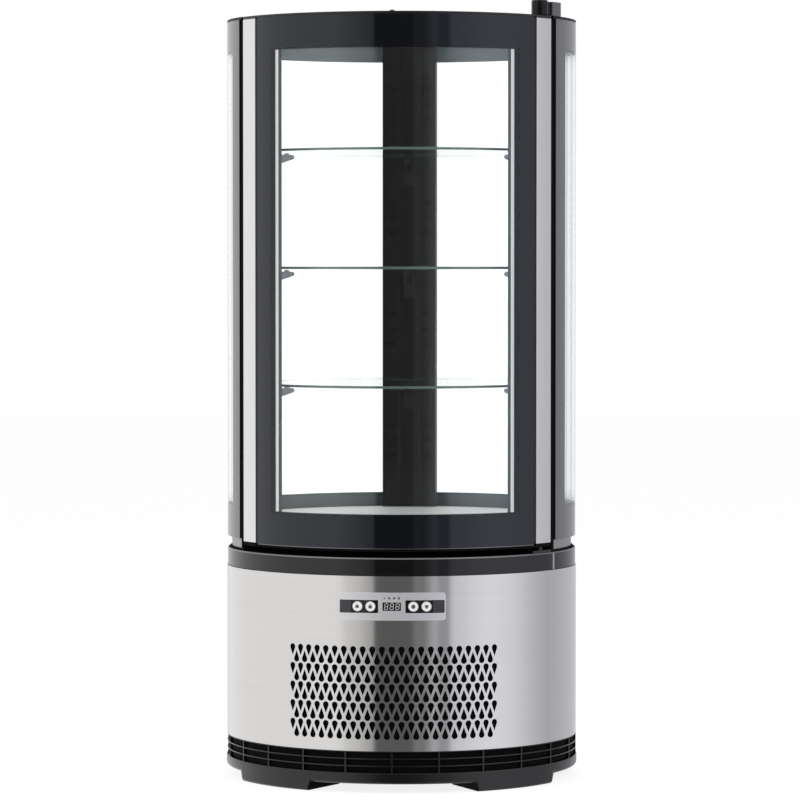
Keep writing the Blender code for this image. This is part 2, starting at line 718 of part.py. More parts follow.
def vent_outlines():
    """All the vents: each pair of rows points towards each other, half a pitch apart."""
    outlines = []
    half_row = (VENTS_IN_UPPER_ROW - 1) / 2
    for pair in range(VENT_PAIRS):
        top = VENT_FIELD_TOP - pair * VENT_PAIR_PITCH
        for index in range(VENTS_IN_UPPER_ROW):
            bearing = (index - half_row) * VENT_PITCH
            outlines.append(drop_outline(bearing, top - DROP_RADIUS, points_up=False))
        for index in range(VENTS_IN_UPPER_ROW - 1):
            bearing = (index + 1 / 2 - half_row) * VENT_PITCH
            round_end = top - VENT_PAIR_HEIGHT + DROP_RADIUS
            outlines.append(drop_outline(bearing, round_end, points_up=True))
    return outlines


def band_outline(first, last, low, high):
    """A hole's outline along an arc, as (bearing, height)."""
    stops = arc_stops(first, last)
    return [(stop, low) for stop in stops] + [(stop, high) for stop in reversed(stops)]


def make_skirt():
    fit_turn = math.degrees(FIT_GAP / SKIRT_RADIUS)
    holes = vent_outlines()
    holes.append(band_outline(-BEZEL_TURN - fit_turn, BEZEL_TURN + fit_turn,
                              BEZEL_BOTTOM - FIT_GAP, BEZEL_TOP + FIT_GAP))
    field_turn = (VENTS_IN_UPPER_ROW / 2) * VENT_PITCH
    sheet = bmesh.new()
    add_pierced_sheet(sheet, -SKIRT_END, SKIRT_END, SKIRT_BOTTOM, SKIRT_TOP, SKIRT_RADIUS,
                      SKIRT_INNER_RADIUS, holes, (-field_turn, field_turn))
    finish("skirt", sheet, BRUSHED_STEEL)


def inlet_outline(margin):
    """The mains inlet's outline on the panel, as (bearing, height)."""
    half_turn = math.degrees((INLET_WIDTH / 2 + margin) / SKIRT_RADIUS)
    half_height = INLET_HEIGHT / 2 + margin
    return [(INLET_BEARING - half_turn, INLET_CENTRE - half_height),
            (INLET_BEARING + half_turn, INLET_CENTRE - half_height),
            (INLET_BEARING + half_turn, INLET_CENTRE + half_height),
            (INLET_BEARING - half_turn, INLET_CENTRE + half_height)]


def make_service_panel():
    first = SKIRT_END + PANEL_GAP_TURN
    last = FULL_TURN - SKIRT_END - PANEL_GAP_TURN
    holes = [inlet_outline(FIT_GAP)]
    half_columns = (PANEL_SLOT_COLUMNS - 1) / 2
    for row in range(PANEL_SLOT_ROWS):
        low = PANEL_SLOT_BASE + row * PANEL_SLOT_PITCH
        for column in range(PANEL_SLOT_COLUMNS):
            middle = HALF_TURN + (column - half_columns) * PANEL_SLOT_STEP
            half_slot = PANEL_SLOT_WIDTH / 2
            holes.append([(middle - half_slot, low), (middle + half_slot, low),
                          (middle + half_slot, low + PANEL_SLOT_HEIGHT),
                          (middle - half_slot, low + PANEL_SLOT_HEIGHT)])
    panel = bmesh.new()
    add_pierced_sheet(panel, first, last, SKIRT_BOTTOM, SKIRT_TOP, SKIRT_RADIUS,
                      SKIRT_INNER_RADIUS, holes, (first, last))
    finish("rear_service_panel", panel, BLACK_STEEL)


def make_power_inlet():
    """A socket with three pins, set square to the panel."""
    half_width = INLET_WIDTH / 2 - FIT_GAP
    half_height = INLET_HEIGHT / 2 - FIT_GAP
    face = SKIRT_RADIUS
    back = face - INLET_DEPTH
    place = turned_to(INLET_BEARING)
    shell = bmesh.new()
    add_block(shell, (-half_width, -face, INLET_CENTRE - half_height),
              (half_width, -back, INLET_CENTRE + half_height))
    shell.transform(place)
    inlet = finish("power_inlet", shell, BLACK_PLASTIC)
    across = half_width - INLET_WALL
    upward = half_height - INLET_WALL
    hollow = bmesh.new()
    add_block(hollow, (-across, -face - CUT_OVERRUN, INLET_CENTRE - upward),
              (across, -back - INLET_FLOOR, INLET_CENTRE + upward))
    hollow.transform(place)
    use_tool(inlet, "guide_inlet_hollow", hollow, "DIFFERENCE")
    pins = bmesh.new()
    for column in (-1, 0, 1):
        middle = column * INLET_PIN_STEP
        add_block(pins, (middle - INLET_PIN_WIDTH / 2, -back - INLET_PIN_LENGTH - INLET_FLOOR,
                         INLET_CENTRE - INLET_PIN_HEIGHT / 2),
                  (middle + INLET_PIN_WIDTH / 2, -back - INLET_FLOOR / 2,
                   INLET_CENTRE + INLET_PIN_HEIGHT / 2))
    pins.transform(place)
    use_tool(inlet, "guide_inlet_pins", pins, "UNION")


# Control panel

def button_place(bearing):
    """Frame of a button: its own axis points out of the case, square to the panel there."""
    tip = Matrix.Rotation(math.radians(90.0), 4, "X")
    return turned_to(bearing) @ Matrix.Translation((0.0, 0.0, PANEL_MIDDLE)) @ tip


def button_bearings():
    return (-BUTTON_OUTER_BEARING, -BUTTON_INNER_BEARING, BUTTON_INNER_BEARING, BUTTON_OUTER_BEARING)


def make_control_bezel():
    """A thin curved frame with three openings: buttons, display, buttons."""
    openings = [band_outline(first, last, PANEL_MIDDLE - OPENING_HEIGHT / 2,
                             PANEL_MIDDLE + OPENING_HEIGHT / 2)
                for first, last in mirrored_spans(OPENING_START, OPENING_END)]
    openings.append(band_outline(-WINDOW_TURN, WINDOW_TURN, PANEL_MIDDLE - WINDOW_HEIGHT / 2,
                                 PANEL_MIDDLE + WINDOW_HEIGHT / 2))
    plate = bmesh.new()
    add_pierced_sheet(plate, -BEZEL_TURN, BEZEL_TURN, BEZEL_BOTTOM, BEZEL_TOP, BEZEL_FACE,
                      BEZEL_BACK, openings, (0.0, 0.0))
    finish("control_bezel", plate, SATIN_ALUMINIUM)


def make_control_fascia():
    """One dark moulding behind the bezel; it carries the display and guides the buttons."""
    margin = math.degrees(FASCIA_MARGIN / FASCIA_FACE)
    body = bmesh.new()
    add_band(body, FASCIA_BACK, FASCIA_FACE, PANEL_MIDDLE - OPENING_HEIGHT / 2 - FASCIA_MARGIN,
             PANEL_MIDDLE + OPENING_HEIGHT / 2 + FASCIA_MARGIN,
             margin - BEZEL_TURN, BEZEL_TURN - margin)
    fascia = finish("control_fascia", body, GLOSS_BLACK)
    bores = bmesh.new()
    for bearing in button_bearings():
        add_pin(bores, BUTTON_RADIUS + FIT_GAP, FASCIA_BACK - CUT_OVERRUN, FASCIA_FACE + CUT_OVERRUN,
                BUTTON_SIDES, button_place(bearing))
    use_tool(fascia, "guide_fascia_bores", bores, "DIFFERENCE")


def make_buttons():
    names = ("up_button", "cooling_button", "lamp_button", "down_button")
    for name, bearing in zip(names, button_bearings()):
        cap = bmesh.new()
        add_pin(cap, BUTTON_RADIUS, BUTTON_BACK, BUTTON_FACE, BUTTON_SIDES, button_place(bearing))
        finish(name, cap, WHITE_BUTTON, true_spot(BUTTON_FACE, bearing, PANEL_MIDDLE))


def make_control_box():
    box = bmesh.new()
    add_band(box, CONTROL_BOX_BACK, CONTROL_BOX_FACE, BEZEL_BOTTOM - CONTROL_BOX_MARGIN,
             BEZEL_TOP + CONTROL_BOX_MARGIN, -CONTROL_BOX_TURN, CONTROL_BOX_TURN)
    finish("control_box", box, BLACK_PLASTIC)


# Rim ring and neck

def make_base_rim():
    ring = bmesh.new()
    add_band(ring, RIM_INNER_RADIUS, RIM_RADIUS, RIM_BOTTOM, RIM_TOP)
    finish("base_rim", ring, GLOSS_BLACK)


def make_neck_ring():
    ring = bmesh.new()
    add_band(ring, NECK_INNER_RADIUS, NECK_RADIUS, ON_RIM, SIDE_GLASS_BOTTOM - FIT_GAP,
             SIDE_GLASS_START, FULL_TURN - SIDE_GLASS_START)
    finish("neck_ring", ring, SATIN_ALUMINIUM)


# Insulated floor, its tub, and the deck

def floor_outline(clearance):
    """Plan of the floor: round, drawn in behind the door, and notched for the three uprights."""
    flange_start = FLANGE_START - NOTCH_TURN
    post_start = NOSE_START - NOTCH_TURN
    post_end = POST_END + NOTCH_TURN
    half_width = REAR_POST_WIDTH / 2 + clearance
    back_bearing = HALF_TURN - math.degrees(math.asin(half_width / DECK_RADIUS))
    right = arc_points(FRONT_EDGE_RADIUS, 0.0, flange_start)
    right += arc_points(FLANGE_INNER_RADIUS - clearance, flange_start, post_start)
    right += arc_points(POST_INNER_RADIUS - clearance, post_start, post_end)
    right += arc_points(DECK_RADIUS, post_end, back_bearing)[:-1]
    edge_back = spot(DECK_RADIUS, back_bearing).y
    right += [Vector((half_width, edge_back)), Vector((half_width, REAR_POST_FACE - clearance))]
    left = [Vector((-point.x, point.y)) for point in reversed(right[1:])]
    return right + left


def make_insulated_floor():
    slab = bmesh.new()
    add_prism(slab, floor_outline(FIT_GAP), ON_RIM, FLOOR_TOP)
    floor = finish("insulated_floor", slab, FOAM)
    tub = bmesh.new()
    add_block(tub, (-TUB_HALF_WIDTH, -TUB_HALF_DEPTH, TUB_BOTTOM),
              (TUB_HALF_WIDTH, TUB_HALF_DEPTH, ON_RIM + JOIN_OVERLAP))
    use_tool(floor, "guide_tub", tub, "UNION")
    hollow = bmesh.new()
    add_block(hollow, (TUB_WALL - TUB_HALF_WIDTH, TUB_WALL - TUB_HALF_DEPTH, TUB_FLOOR),
              (TUB_HALF_WIDTH - TUB_WALL, TUB_HALF_DEPTH - TUB_WALL, FLOOR_TOP + CUT_OVERRUN))
    use_tool(floor, "guide_tub_hollow", hollow, "DIFFERENCE")
    duct = bmesh.new()
    add_block(duct, (-DUCT_HALF_WIDTH, TUB_HALF_DEPTH - TUB_WALL - CUT_OVERRUN, FLOOR_TOP - DUCT_DEPTH),
              (DUCT_HALF_WIDTH, REAR_POST_FACE + CUT_OVERRUN, FLOOR_TOP + CUT_OVERRUN))
    use_tool(floor, "guide_air_duct", duct, "DIFFERENCE")


def make_deck():
    sheet = bmesh.new()
    add_prism(sheet, floor_outline(FIT_GAP), DECK_TOP - DECK_SHEET, DECK_TOP)
    finish("deck", sheet, WHITE_ENAMEL)


# Side glazing

def side_spans():
    return (("right", SIDE_GLASS_START, SIDE_GLASS_END),
            ("left", FULL_TURN - SIDE_GLASS_END, FULL_TURN - SIDE_GLASS_START))


def make_side_glazing():
    for side, first, last in side_spans():
        for layer, inner, outer in (("outer", OUTER_PANE_BACK, GLASS_RADIUS),
                                    ("inner", INNER_PANE_BACK, INNER_PANE_FACE)):
            pane = bmesh.new()
            add_band(pane, inner, outer, SIDE_GLASS_BOTTOM, SIDE_GLASS_TOP, first, last)
            finish(f"{side}_{layer}_pane", pane, CLEAR_GLASS)
        spacer = bmesh.new()
        add_frame_wall(spacer, SPACER_BACK, SPACER_FACE, SIDE_GLASS_BOTTOM, SIDE_GLASS_TOP,
                       first, last, SPACER_WIDTH)
        finish(f"{side}_spacer", spacer, SATIN_ALUMINIUM)


# Uprights and lamp

def front_post_outline():
    """Plan of the right front upright: a post behind the side glass, with a flange that the
    door's gasket meets and a nose that covers the glass edge."""
    nose_end = SIDE_GLASS_START - NOTCH_TURN
    outline = arc_points(FLANGE_INNER_RADIUS, FLANGE_START, NOSE_START)
    outline += arc_points(POST_INNER_RADIUS, NOSE_START, POST_END)
    outline += arc_points(BEHIND_GLASS, POST_END, nose_end)
    outline += arc_points(NOSE_RADIUS, nose_end, NOSE_START)
    outline += arc_points(FLANGE_OUTER_RADIUS, NOSE_START, FLANGE_START)
    return outline


def leave_frame_room(post, tool_name):
    """Cut an upright's top back to the glass, where the top frame stands on it."""
    room = bmesh.new()
    outline = arc_points(BEHIND_GLASS + FIT_GAP, 0.0, FULL_TURN)[:-1]
    add_prism(room, outline, POST_TOP, SIDE_GLASS_TOP + CUT_OVERRUN)
    use_tool(post, tool_name, room, "DIFFERENCE")


def make_front_posts():
    for side, way in (("right", 1), ("left", -1)):
        outline = [(way * point.x, point.y) for point in front_post_outline()]
        post = bmesh.new()
        add_prism(post, outline, ON_RIM, SIDE_GLASS_TOP)
        upright = finish(f"{side}_front_post", post, BLACK_PLASTIC)
        leave_frame_room(upright, f"guide_{side}_frame_room")


def bay_heights():
    """Floor height of each of the four bays, and the height of the ceiling."""
    shelves = [LOWEST_SHELF_MIDDLE + index * SHELF_PITCH for index in range(len(SHELF_LEVELS))]
    return [DECK_TOP] + shelves + [CEILING_UNDERSIDE]


def off_back(reach, radius):
    """Degrees from the back at which a circle of this radius lies so far to one side."""
    return math.degrees(math.asin(reach / radius))


def make_rear_post():
    """A hollow column that carries the cold air up: its grooved front has the outlets, and its
    spine stands between the ends of the side glass."""
    half = REAR_POST_WIDTH / 2
    spine = REAR_SPINE_WIDTH / 2
    groove = CHANNEL_WIDTH / 2
    face = REAR_POST_FACE
    shoulder_end = HALF_TURN - off_back(spine, BEHIND_GLASS)
    shoulder = arc_points(BEHIND_GLASS, HALF_TURN - off_back(half, BEHIND_GLASS), shoulder_end)
    back_end = HALF_TURN - off_back(spine, REAR_POST_RADIUS)
    right = shoulder + arc_points(REAR_POST_RADIUS, back_end, HALF_TURN)
    outline = [(half, face)] + [(point.x, point.y) for point in right]
    outline += [(-point.x, point.y) for point in reversed(right[:-1])]
    outline += [(-half, face), (-groove, face), (-groove, face + CHANNEL_DEPTH),
                (groove, face + CHANNEL_DEPTH), (groove, face)]
    column = bmesh.new()
    add_prism(column, outline, ON_RIM, SIDE_GLASS_TOP)
    post = finish("rear_post", column, BLACK_PLASTIC)
    leave_frame_room(post, "guide_rear_frame_room")
    inside = half - REAR_POST_WALL
    spine_inside = spine - REAR_POST_WALL
    front_wall = face + CHANNEL_DEPTH + REAR_POST_FRONT_WALL
    shoulder_wall = shoulder[0].y - REAR_POST_WALL
    back_wall = right[-1].y - REAR_POST_WALL
    duct_outline = [(inside, front_wall), (inside, shoulder_wall), (spine_inside, shoulder_wall),
                    (spine_inside, back_wall)]
    duct_outline += [(-across, along) for across, along in reversed(duct_outline)]
    duct = bmesh.new()
    add_prism(duct, duct_outline, ON_RIM - CUT_OVERRUN, POST_TOP - REAR_POST_WALL)
    use_tool(post, "guide_post_duct", duct, "DIFFERENCE")
    neck_room = bmesh.new()
    add_band(neck_room, NECK_INNER_RADIUS - FIT_GAP, GLASS_RADIUS + CUT_OVERRUN,
             ON_RIM - CUT_OVERRUN, SIDE_GLASS_BOTTOM, SIDE_GLASS_END, FULL_TURN - SIDE_GLASS_END)
    use_tool(post, "guide_neck_room", neck_room, "DIFFERENCE")
    openings = bmesh.new()
    middle = (groove + half) / 2
    for ceiling in bay_heights()[1:]:
        for index in range(OUTLETS_PER_BAY):
            low = ceiling - OUTLET_CLEARANCE - (index + 1) * OUTLET_PITCH
            for side in (-1, 1):
                add_block(openings,
                          (side * middle - OUTLET_WIDTH / 2, face - CUT_OVERRUN, low),
                          (side * middle + OUTLET_WIDTH / 2, front_wall + CUT_OVERRUN,
                           low + OUTLET_HEIGHT))
    add_block(openings, (-DUCT_HALF_WIDTH, face - CUT_OVERRUN, FLOOR_TOP - DUCT_DEPTH),
              (DUCT_HALF_WIDTH, front_wall + CUT_OVERRUN, FLOOR_TOP))
    use_tool(post, "guide_air_outlets", openings, "DIFFERENCE")


def make_light_bar():
    """A lamp strip under the front of the top frame, behind the door's upper border."""
    bar = bmesh.new()
    add_band(bar, LIGHT_BAR_INNER_RADIUS, LIGHT_BAR_OUTER_RADIUS, POST_TOP - LIGHT_BAR_HEIGHT,
             POST_TOP, -LIGHT_BAR_TURN, LIGHT_BAR_TURN)
    finish("light_bar", bar, LAMP_DIFFUSER)


# Shelves and their brackets

def shelf_middles():
    return bay_heights()[1:-1]


def bracket_spots():
    """Side and bearing of each upright's brackets, with the radius that their plates reach."""
    post_seat = POST_INNER_RADIUS - FLAT_SEAT_GAP
    return (("right", BRACKET_BEARING, post_seat), ("left", -BRACKET_BEARING, post_seat),
            ("rear", HALF_TURN, REAR_POST_FACE - FIT_GAP))


def make_shelves():
    for level, middle in zip(SHELF_LEVELS, shelf_middles()):
        glass = bmesh.new()
        add_prism(glass, arc_points(SHELF_RADIUS, 0.0, FULL_TURN)[:-1],
                  middle - SHELF_GLASS / 2, middle + SHELF_GLASS / 2)
        finish(f"{level}_shelf", glass, CLEAR_GLASS)


def make_shelf_brackets():
    """A tapered arm on a hook plate, with a nub near its tip that the glass lies on."""
    half = BRACKET_THICKNESS / 2
    nub_start = BRACKET_TIP_RADIUS + NUB_INSET
    nub_end = nub_start + NUB_LENGTH
    for level, middle in zip(SHELF_LEVELS, shelf_middles()):
        nub_top = middle - SHELF_GLASS / 2 - FIT_GAP
        arm_top = nub_top - NUB_HEIGHT
        for side, bearing, seat in bracket_spots():
            root = seat - BRACKET_PLATE / 2
            outline = ((BRACKET_TIP_RADIUS, arm_top), (nub_start, arm_top), (nub_start, nub_top),
                       (nub_end, nub_top), (nub_end, arm_top), (root, arm_top),
                       (root, arm_top - BRACKET_ROOT_HEIGHT),
                       (BRACKET_TIP_RADIUS, arm_top - BRACKET_TIP_HEIGHT))
            arm = bmesh.new()
            add_loops(arm, [[(offset, -radius, height) for radius, height in outline]
                            for offset in (-half, half)], closed=False)
            arm.transform(turned_to(bearing))
            bracket = finish(f"{level}_{side}_bracket", arm, GREY_METAL)
            plate = bmesh.new()
            plate_top = arm_top - BRACKET_PLATE / 2
            add_block(plate, (-BRACKET_PLATE_WIDTH / 2, -seat, plate_top - BRACKET_PLATE_HEIGHT),
                      (BRACKET_PLATE_WIDTH / 2, BRACKET_PLATE - seat, plate_top))
            plate.transform(turned_to(bearing))
            use_tool(bracket, f"guide_{level}_{side}_plate", plate, "UNION")


# Top frame, ceiling and lid

def make_top_frame():
    end = POST_START - NOTCH_TURN
    top = LID_UNDERSIDE - FIT_GAP
    ring = bmesh.new()
    ledge_top = CEILING_UNDERSIDE - FIT_GAP
    ledge_radius = TOP_FRAME_INNER_RADIUS - CEILING_LEDGE
    add_sweep(ring, ((ledge_radius, TOP_FRAME_BOTTOM), (FLANGE_OUTER_RADIUS, TOP_FRAME_BOTTOM),
                     (FLANGE_OUTER_RADIUS, top), (TOP_FRAME_INNER_RADIUS, top),
                     (TOP_FRAME_INNER_RADIUS, ledge_top), (ledge_radius, ledge_top)))
    frame = finish("top_frame", ring, BLACK_PLASTIC)
    header = bmesh.new()
    add_band(header, FLANGE_OUTER_RADIUS - JOIN_OVERLAP, BEHIND_GLASS, TOP_FRAME_BOTTOM + JOIN_OVERLAP,
             top - JOIN_OVERLAP, end, FULL_TURN - end)
    use_tool(frame, "guide_header", header, "UNION")


def make_ceiling():
    sheet = bmesh.new()
    outline = arc_points(TOP_FRAME_INNER_RADIUS - FIT_GAP, 0.0, FULL_TURN)[:-1]
    add_prism(sheet, outline, CEILING_UNDERSIDE, CEILING_UNDERSIDE + CEILING_SHEET)
    finish("ceiling_panel", sheet, WHITE_ENAMEL)


def make_lid():
    """A round plate, cut back over the door and notched where the door's hinge end swings in."""
    end = NOSE_START
    outline = arc_points(BEHIND_GLASS, -end, end) + arc_points(GLASS_RADIUS, end, FULL_TURN - end)
    plate = bmesh.new()
    add_prism(plate, outline, LID_UNDERSIDE, LID_TOP)
    lid = finish("lid", plate, GLOSS_BLACK)
    pivot = true_spot(PIVOT_RADIUS, PIVOT_BEARING)
    swing_radius = (true_spot(GLASS_RADIUS, PROFILE_END) - pivot).length + SWING_CLEARANCE
    notch = bmesh.new()
    add_pin(notch, swing_radius, LID_UNDERSIDE - CUT_OVERRUN, LID_TOP + CUT_OVERRUN, BOSS_SIDES,
            Matrix.Translation(pivot))
    use_tool(lid, "guide_swing_notch", notch, "DIFFERENCE")


# Door

def make_door_glazing(pivot):
    for name, inner, outer in (("door_outer_pane", OUTER_PANE_BACK, GLASS_RADIUS),
                               ("door_inner_pane", INNER_PANE_BACK, INNER_PANE_FACE)):
        pane = bmesh.new()
        add_band(pane, inner, outer, DOOR_GLASS_BOTTOM, DOOR_GLASS_TOP,
                 -DOOR_GLASS_TURN, DOOR_GLASS_TURN)
        finish(name, pane, CLEAR_GLASS, pivot)
    spacer = bmesh.new()
    end = DOOR_GLASS_TURN - math.degrees(DOOR_SPACER_SIDE_INSET / SPACER_FACE)
    add_frame_wall(spacer, SPACER_BACK, SPACER_FACE, DOOR_GLASS_BOTTOM + DOOR_SPACER_END_INSET,
                   DOOR_GLASS_TOP - DOOR_SPACER_END_INSET, -end, end, DOOR_SPACER_WIDTH)
    finish("door_spacer", spacer, SATIN_ALUMINIUM, pivot)


def make_door_rails(pivot):
    """Black end mouldings across the whole door; the hinge side is bored for the pins."""
    top_low = DOOR_GLASS_TOP + FIT_GAP
    bottom_high = DOOR_GLASS_BOTTOM - FIT_GAP
    for name, low, high, outer, cap_low, cap_high in (
            ("door_top_rail", top_low, DOOR_TOP, GLASS_RADIUS,
             PROFILE_TOP + FIT_GAP, DOOR_TOP - RAIL_CAP_MARGIN),
            ("door_bottom_rail", DOOR_BOTTOM, bottom_high, BOTTOM_RAIL_RADIUS,
             DOOR_BOTTOM + RAIL_CAP_MARGIN, PROFILE_BOTTOM - FIT_GAP)):
        band = bmesh.new()
        add_band(band, INNER_PANE_BACK, outer, low, high, -PROFILE_END, PROFILE_END)
        rail = finish(name, band, BLACK_PLASTIC, pivot)
        caps = bmesh.new()
        margin = math.degrees(RAIL_CAP_MARGIN / GLASS_RADIUS)
        for first, last in mirrored_spans(PROFILE_START, PROFILE_END - margin):
            add_band(caps, INNER_PANE_BACK + RAIL_CAP_MARGIN, GLASS_RADIUS - RAIL_CAP_MARGIN,
                     cap_low, cap_high, first, last)
        use_tool(rail, f"guide_{name}_caps", caps, "UNION")
        bore = bmesh.new()
        place = Matrix.Translation(true_spot(PIVOT_RADIUS, PIVOT_BEARING))
        add_pin(bore, PIN_RADIUS + BORE_CLEARANCE, min(low, cap_low) - CUT_OVERRUN,
                max(high, cap_high) + CUT_OVERRUN, PIN_SIDES, place)
        use_tool(rail, f"guide_{name}_bore", bore, "DIFFERENCE")


def make_door_profiles(pivot):
    for name, first, last in (("hinge_profile", PROFILE_START, PROFILE_END),
                              ("handle_profile", -PROFILE_END, -PROFILE_START)):
        tube = bmesh.new()
        add_band(tube, INNER_PANE_BACK, GLASS_RADIUS, PROFILE_BOTTOM, PROFILE_TOP, first, last)
        profile = finish(name, tube, SATIN_ALUMINIUM, pivot)
        hollow = bmesh.new()
        wall_turn = math.degrees(PROFILE_WALL / GLASS_RADIUS)
        add_band(hollow, INNER_PANE_BACK + PROFILE_WALL, GLASS_RADIUS - PROFILE_WALL,
                 PROFILE_BOTTOM - CUT_OVERRUN, PROFILE_TOP + CUT_OVERRUN,
                 first + wall_turn, last - wall_turn)
        use_tool(profile, f"guide_{name}_hollow", hollow, "DIFFERENCE")


def make_door_gasket(pivot):
    gasket = bmesh.new()
    low = DOOR_GLASS_BOTTOM + FIT_GAP
    add_frame_wall(gasket, GASKET_FACE, BEHIND_GLASS, low, DOOR_GLASS_TOP - FIT_GAP,
                   -GASKET_TURN, GASKET_TURN, GASKET_WIDTH)
    finish("door_gasket", gasket, BLACK_RUBBER, pivot)


# Door hinge

def make_top_hinge(pivot_place):
    """A block on the lid with a round boss over the door, and the pin under the boss."""
    low = DOOR_TOP + HINGE_FLOAT
    boss = bmesh.new()
    add_turned(boss, ((PIN_RADIUS, PROFILE_TOP + HINGE_FLOAT), (PIN_RADIUS, low),
                      (BOSS_RADIUS, low), (BOSS_RADIUS, HINGE_TOP)), BOSS_SIDES, pivot_place)
    bracket = finish("top_hinge_bracket", boss, BLACK_STEEL)
    block = bmesh.new()
    add_band(block, HINGE_BLOCK_INNER_RADIUS, GLASS_RADIUS, LID_TOP + FIT_GAP, HINGE_BLOCK_TOP,
             HINGE_BLOCK_START, HINGE_BLOCK_END)
    use_tool(bracket, "guide_hinge_block", block, "UNION")
    arm = bmesh.new()
    middle = (HINGE_BLOCK_START + HINGE_BLOCK_END) / 2
    reach = math.radians(middle - PIVOT_BEARING) * PIVOT_RADIUS
    add_block(arm, (0.0, -PIVOT_RADIUS - HINGE_ARM_WIDTH / 2, low + JOIN_OVERLAP),
              (reach, HINGE_ARM_WIDTH / 2 - PIVOT_RADIUS, HINGE_BLOCK_TOP - JOIN_OVERLAP))
    arm.transform(turned_to(PIVOT_BEARING))
    use_tool(bracket, "guide_hinge_arm", arm, "UNION")


def make_bottom_hinge(pivot_place):
    """A plate on the rim ring with the lower pin standing on it."""
    band = bmesh.new()
    add_band(band, HINGE_PLATE_INNER_RADIUS, HINGE_PLATE_OUTER_RADIUS, ON_RIM, PIVOT_HEIGHT,
             HINGE_PLATE_START, HINGE_PLATE_END)
    plate = finish("bottom_hinge_bracket", band, BLACK_STEEL)
    pin = bmesh.new()
    add_pin(pin, PIN_RADIUS, PIVOT_HEIGHT - HINGE_PLATE / 2, PROFILE_BOTTOM - HINGE_FLOAT,
            PIN_SIDES, pivot_place)
    use_tool(plate, "guide_bottom_pin", pin, "UNION")


# Refrigeration parts

def make_compressor():
    across, along = COMPRESSOR_PLACE
    place = Matrix.Translation((across, along, 0.0))
    pot_top = COMPRESSOR_POT_BOTTOM + COMPRESSOR_HEIGHT
    shoulder = COMPRESSOR_RADIUS / 3
    pot = bmesh.new()
    add_turned(pot, ((COMPRESSOR_RADIUS - shoulder / 2, COMPRESSOR_POT_BOTTOM),
                     (COMPRESSOR_RADIUS, COMPRESSOR_POT_BOTTOM + shoulder),
                     (COMPRESSOR_RADIUS, pot_top - shoulder * 2),
                     (COMPRESSOR_RADIUS - shoulder / 2, pot_top - shoulder / 2),
                     (COMPRESSOR_RADIUS - shoulder * 2, pot_top)), COMPRESSOR_SIDES, place)
    compressor = finish("compressor", pot, BLACK_STEEL)
    feet = bmesh.new()
    reach = COMPRESSOR_PLATE_HALF
    for side in (-1, 1):
        middle = along + side * (COMPRESSOR_RADIUS - COMPRESSOR_PLATE_BAND)
        add_block(feet, (across - reach, middle - COMPRESSOR_PLATE_BAND, ON_TRAY),
                  (across + reach, middle + COMPRESSOR_PLATE_BAND, ON_TRAY + COMPRESSOR_PLATE))
    use_tool(compressor, "guide_compressor_feet", feet, "UNION")


def finned_outline(low, high, fins):
    """Plan of a coil block: a core along X, with fins in front of it and behind it."""
    pitch = (high[0] - low[0]) / fins
    fin = pitch * FIN_THICKNESS_SHARE
    middle = (low[1] + high[1]) / 2
    core = (high[1] - low[1]) * FIN_CORE_SHARE / 2
    front = []
    for index in range(fins):
        start = low[0] + index * pitch
        front += [(start, low[1]), (start + fin, low[1])]
        if index < fins - 1:
            front += [(start + fin, middle - core), (start + pitch, middle - core)]
    back = [(across, 2 * middle - along) for across, along in reversed(front)]
    return front + back


def make_coils():
    for name, low, high, fins, seat, height in (
            ("condenser", (CONDENSER_LEFT, CONDENSER_FRONT), (CONDENSER_RIGHT, CONDENSER_BACK),
             CONDENSER_FINS, ON_TRAY, CONDENSER_HEIGHT),
            ("evaporator", (-EVAPORATOR_HALF_WIDTH, EVAPORATOR_FRONT),
             (EVAPORATOR_HALF_WIDTH, EVAPORATOR_BACK), EVAPORATOR_FINS, TUB_FLOOR + FIT_GAP,
             EVAPORATOR_HEIGHT)):
        block = bmesh.new()
        add_prism(block, finned_outline(low, high, fins), seat, seat + height)
        finish(name, block, GREY_METAL)


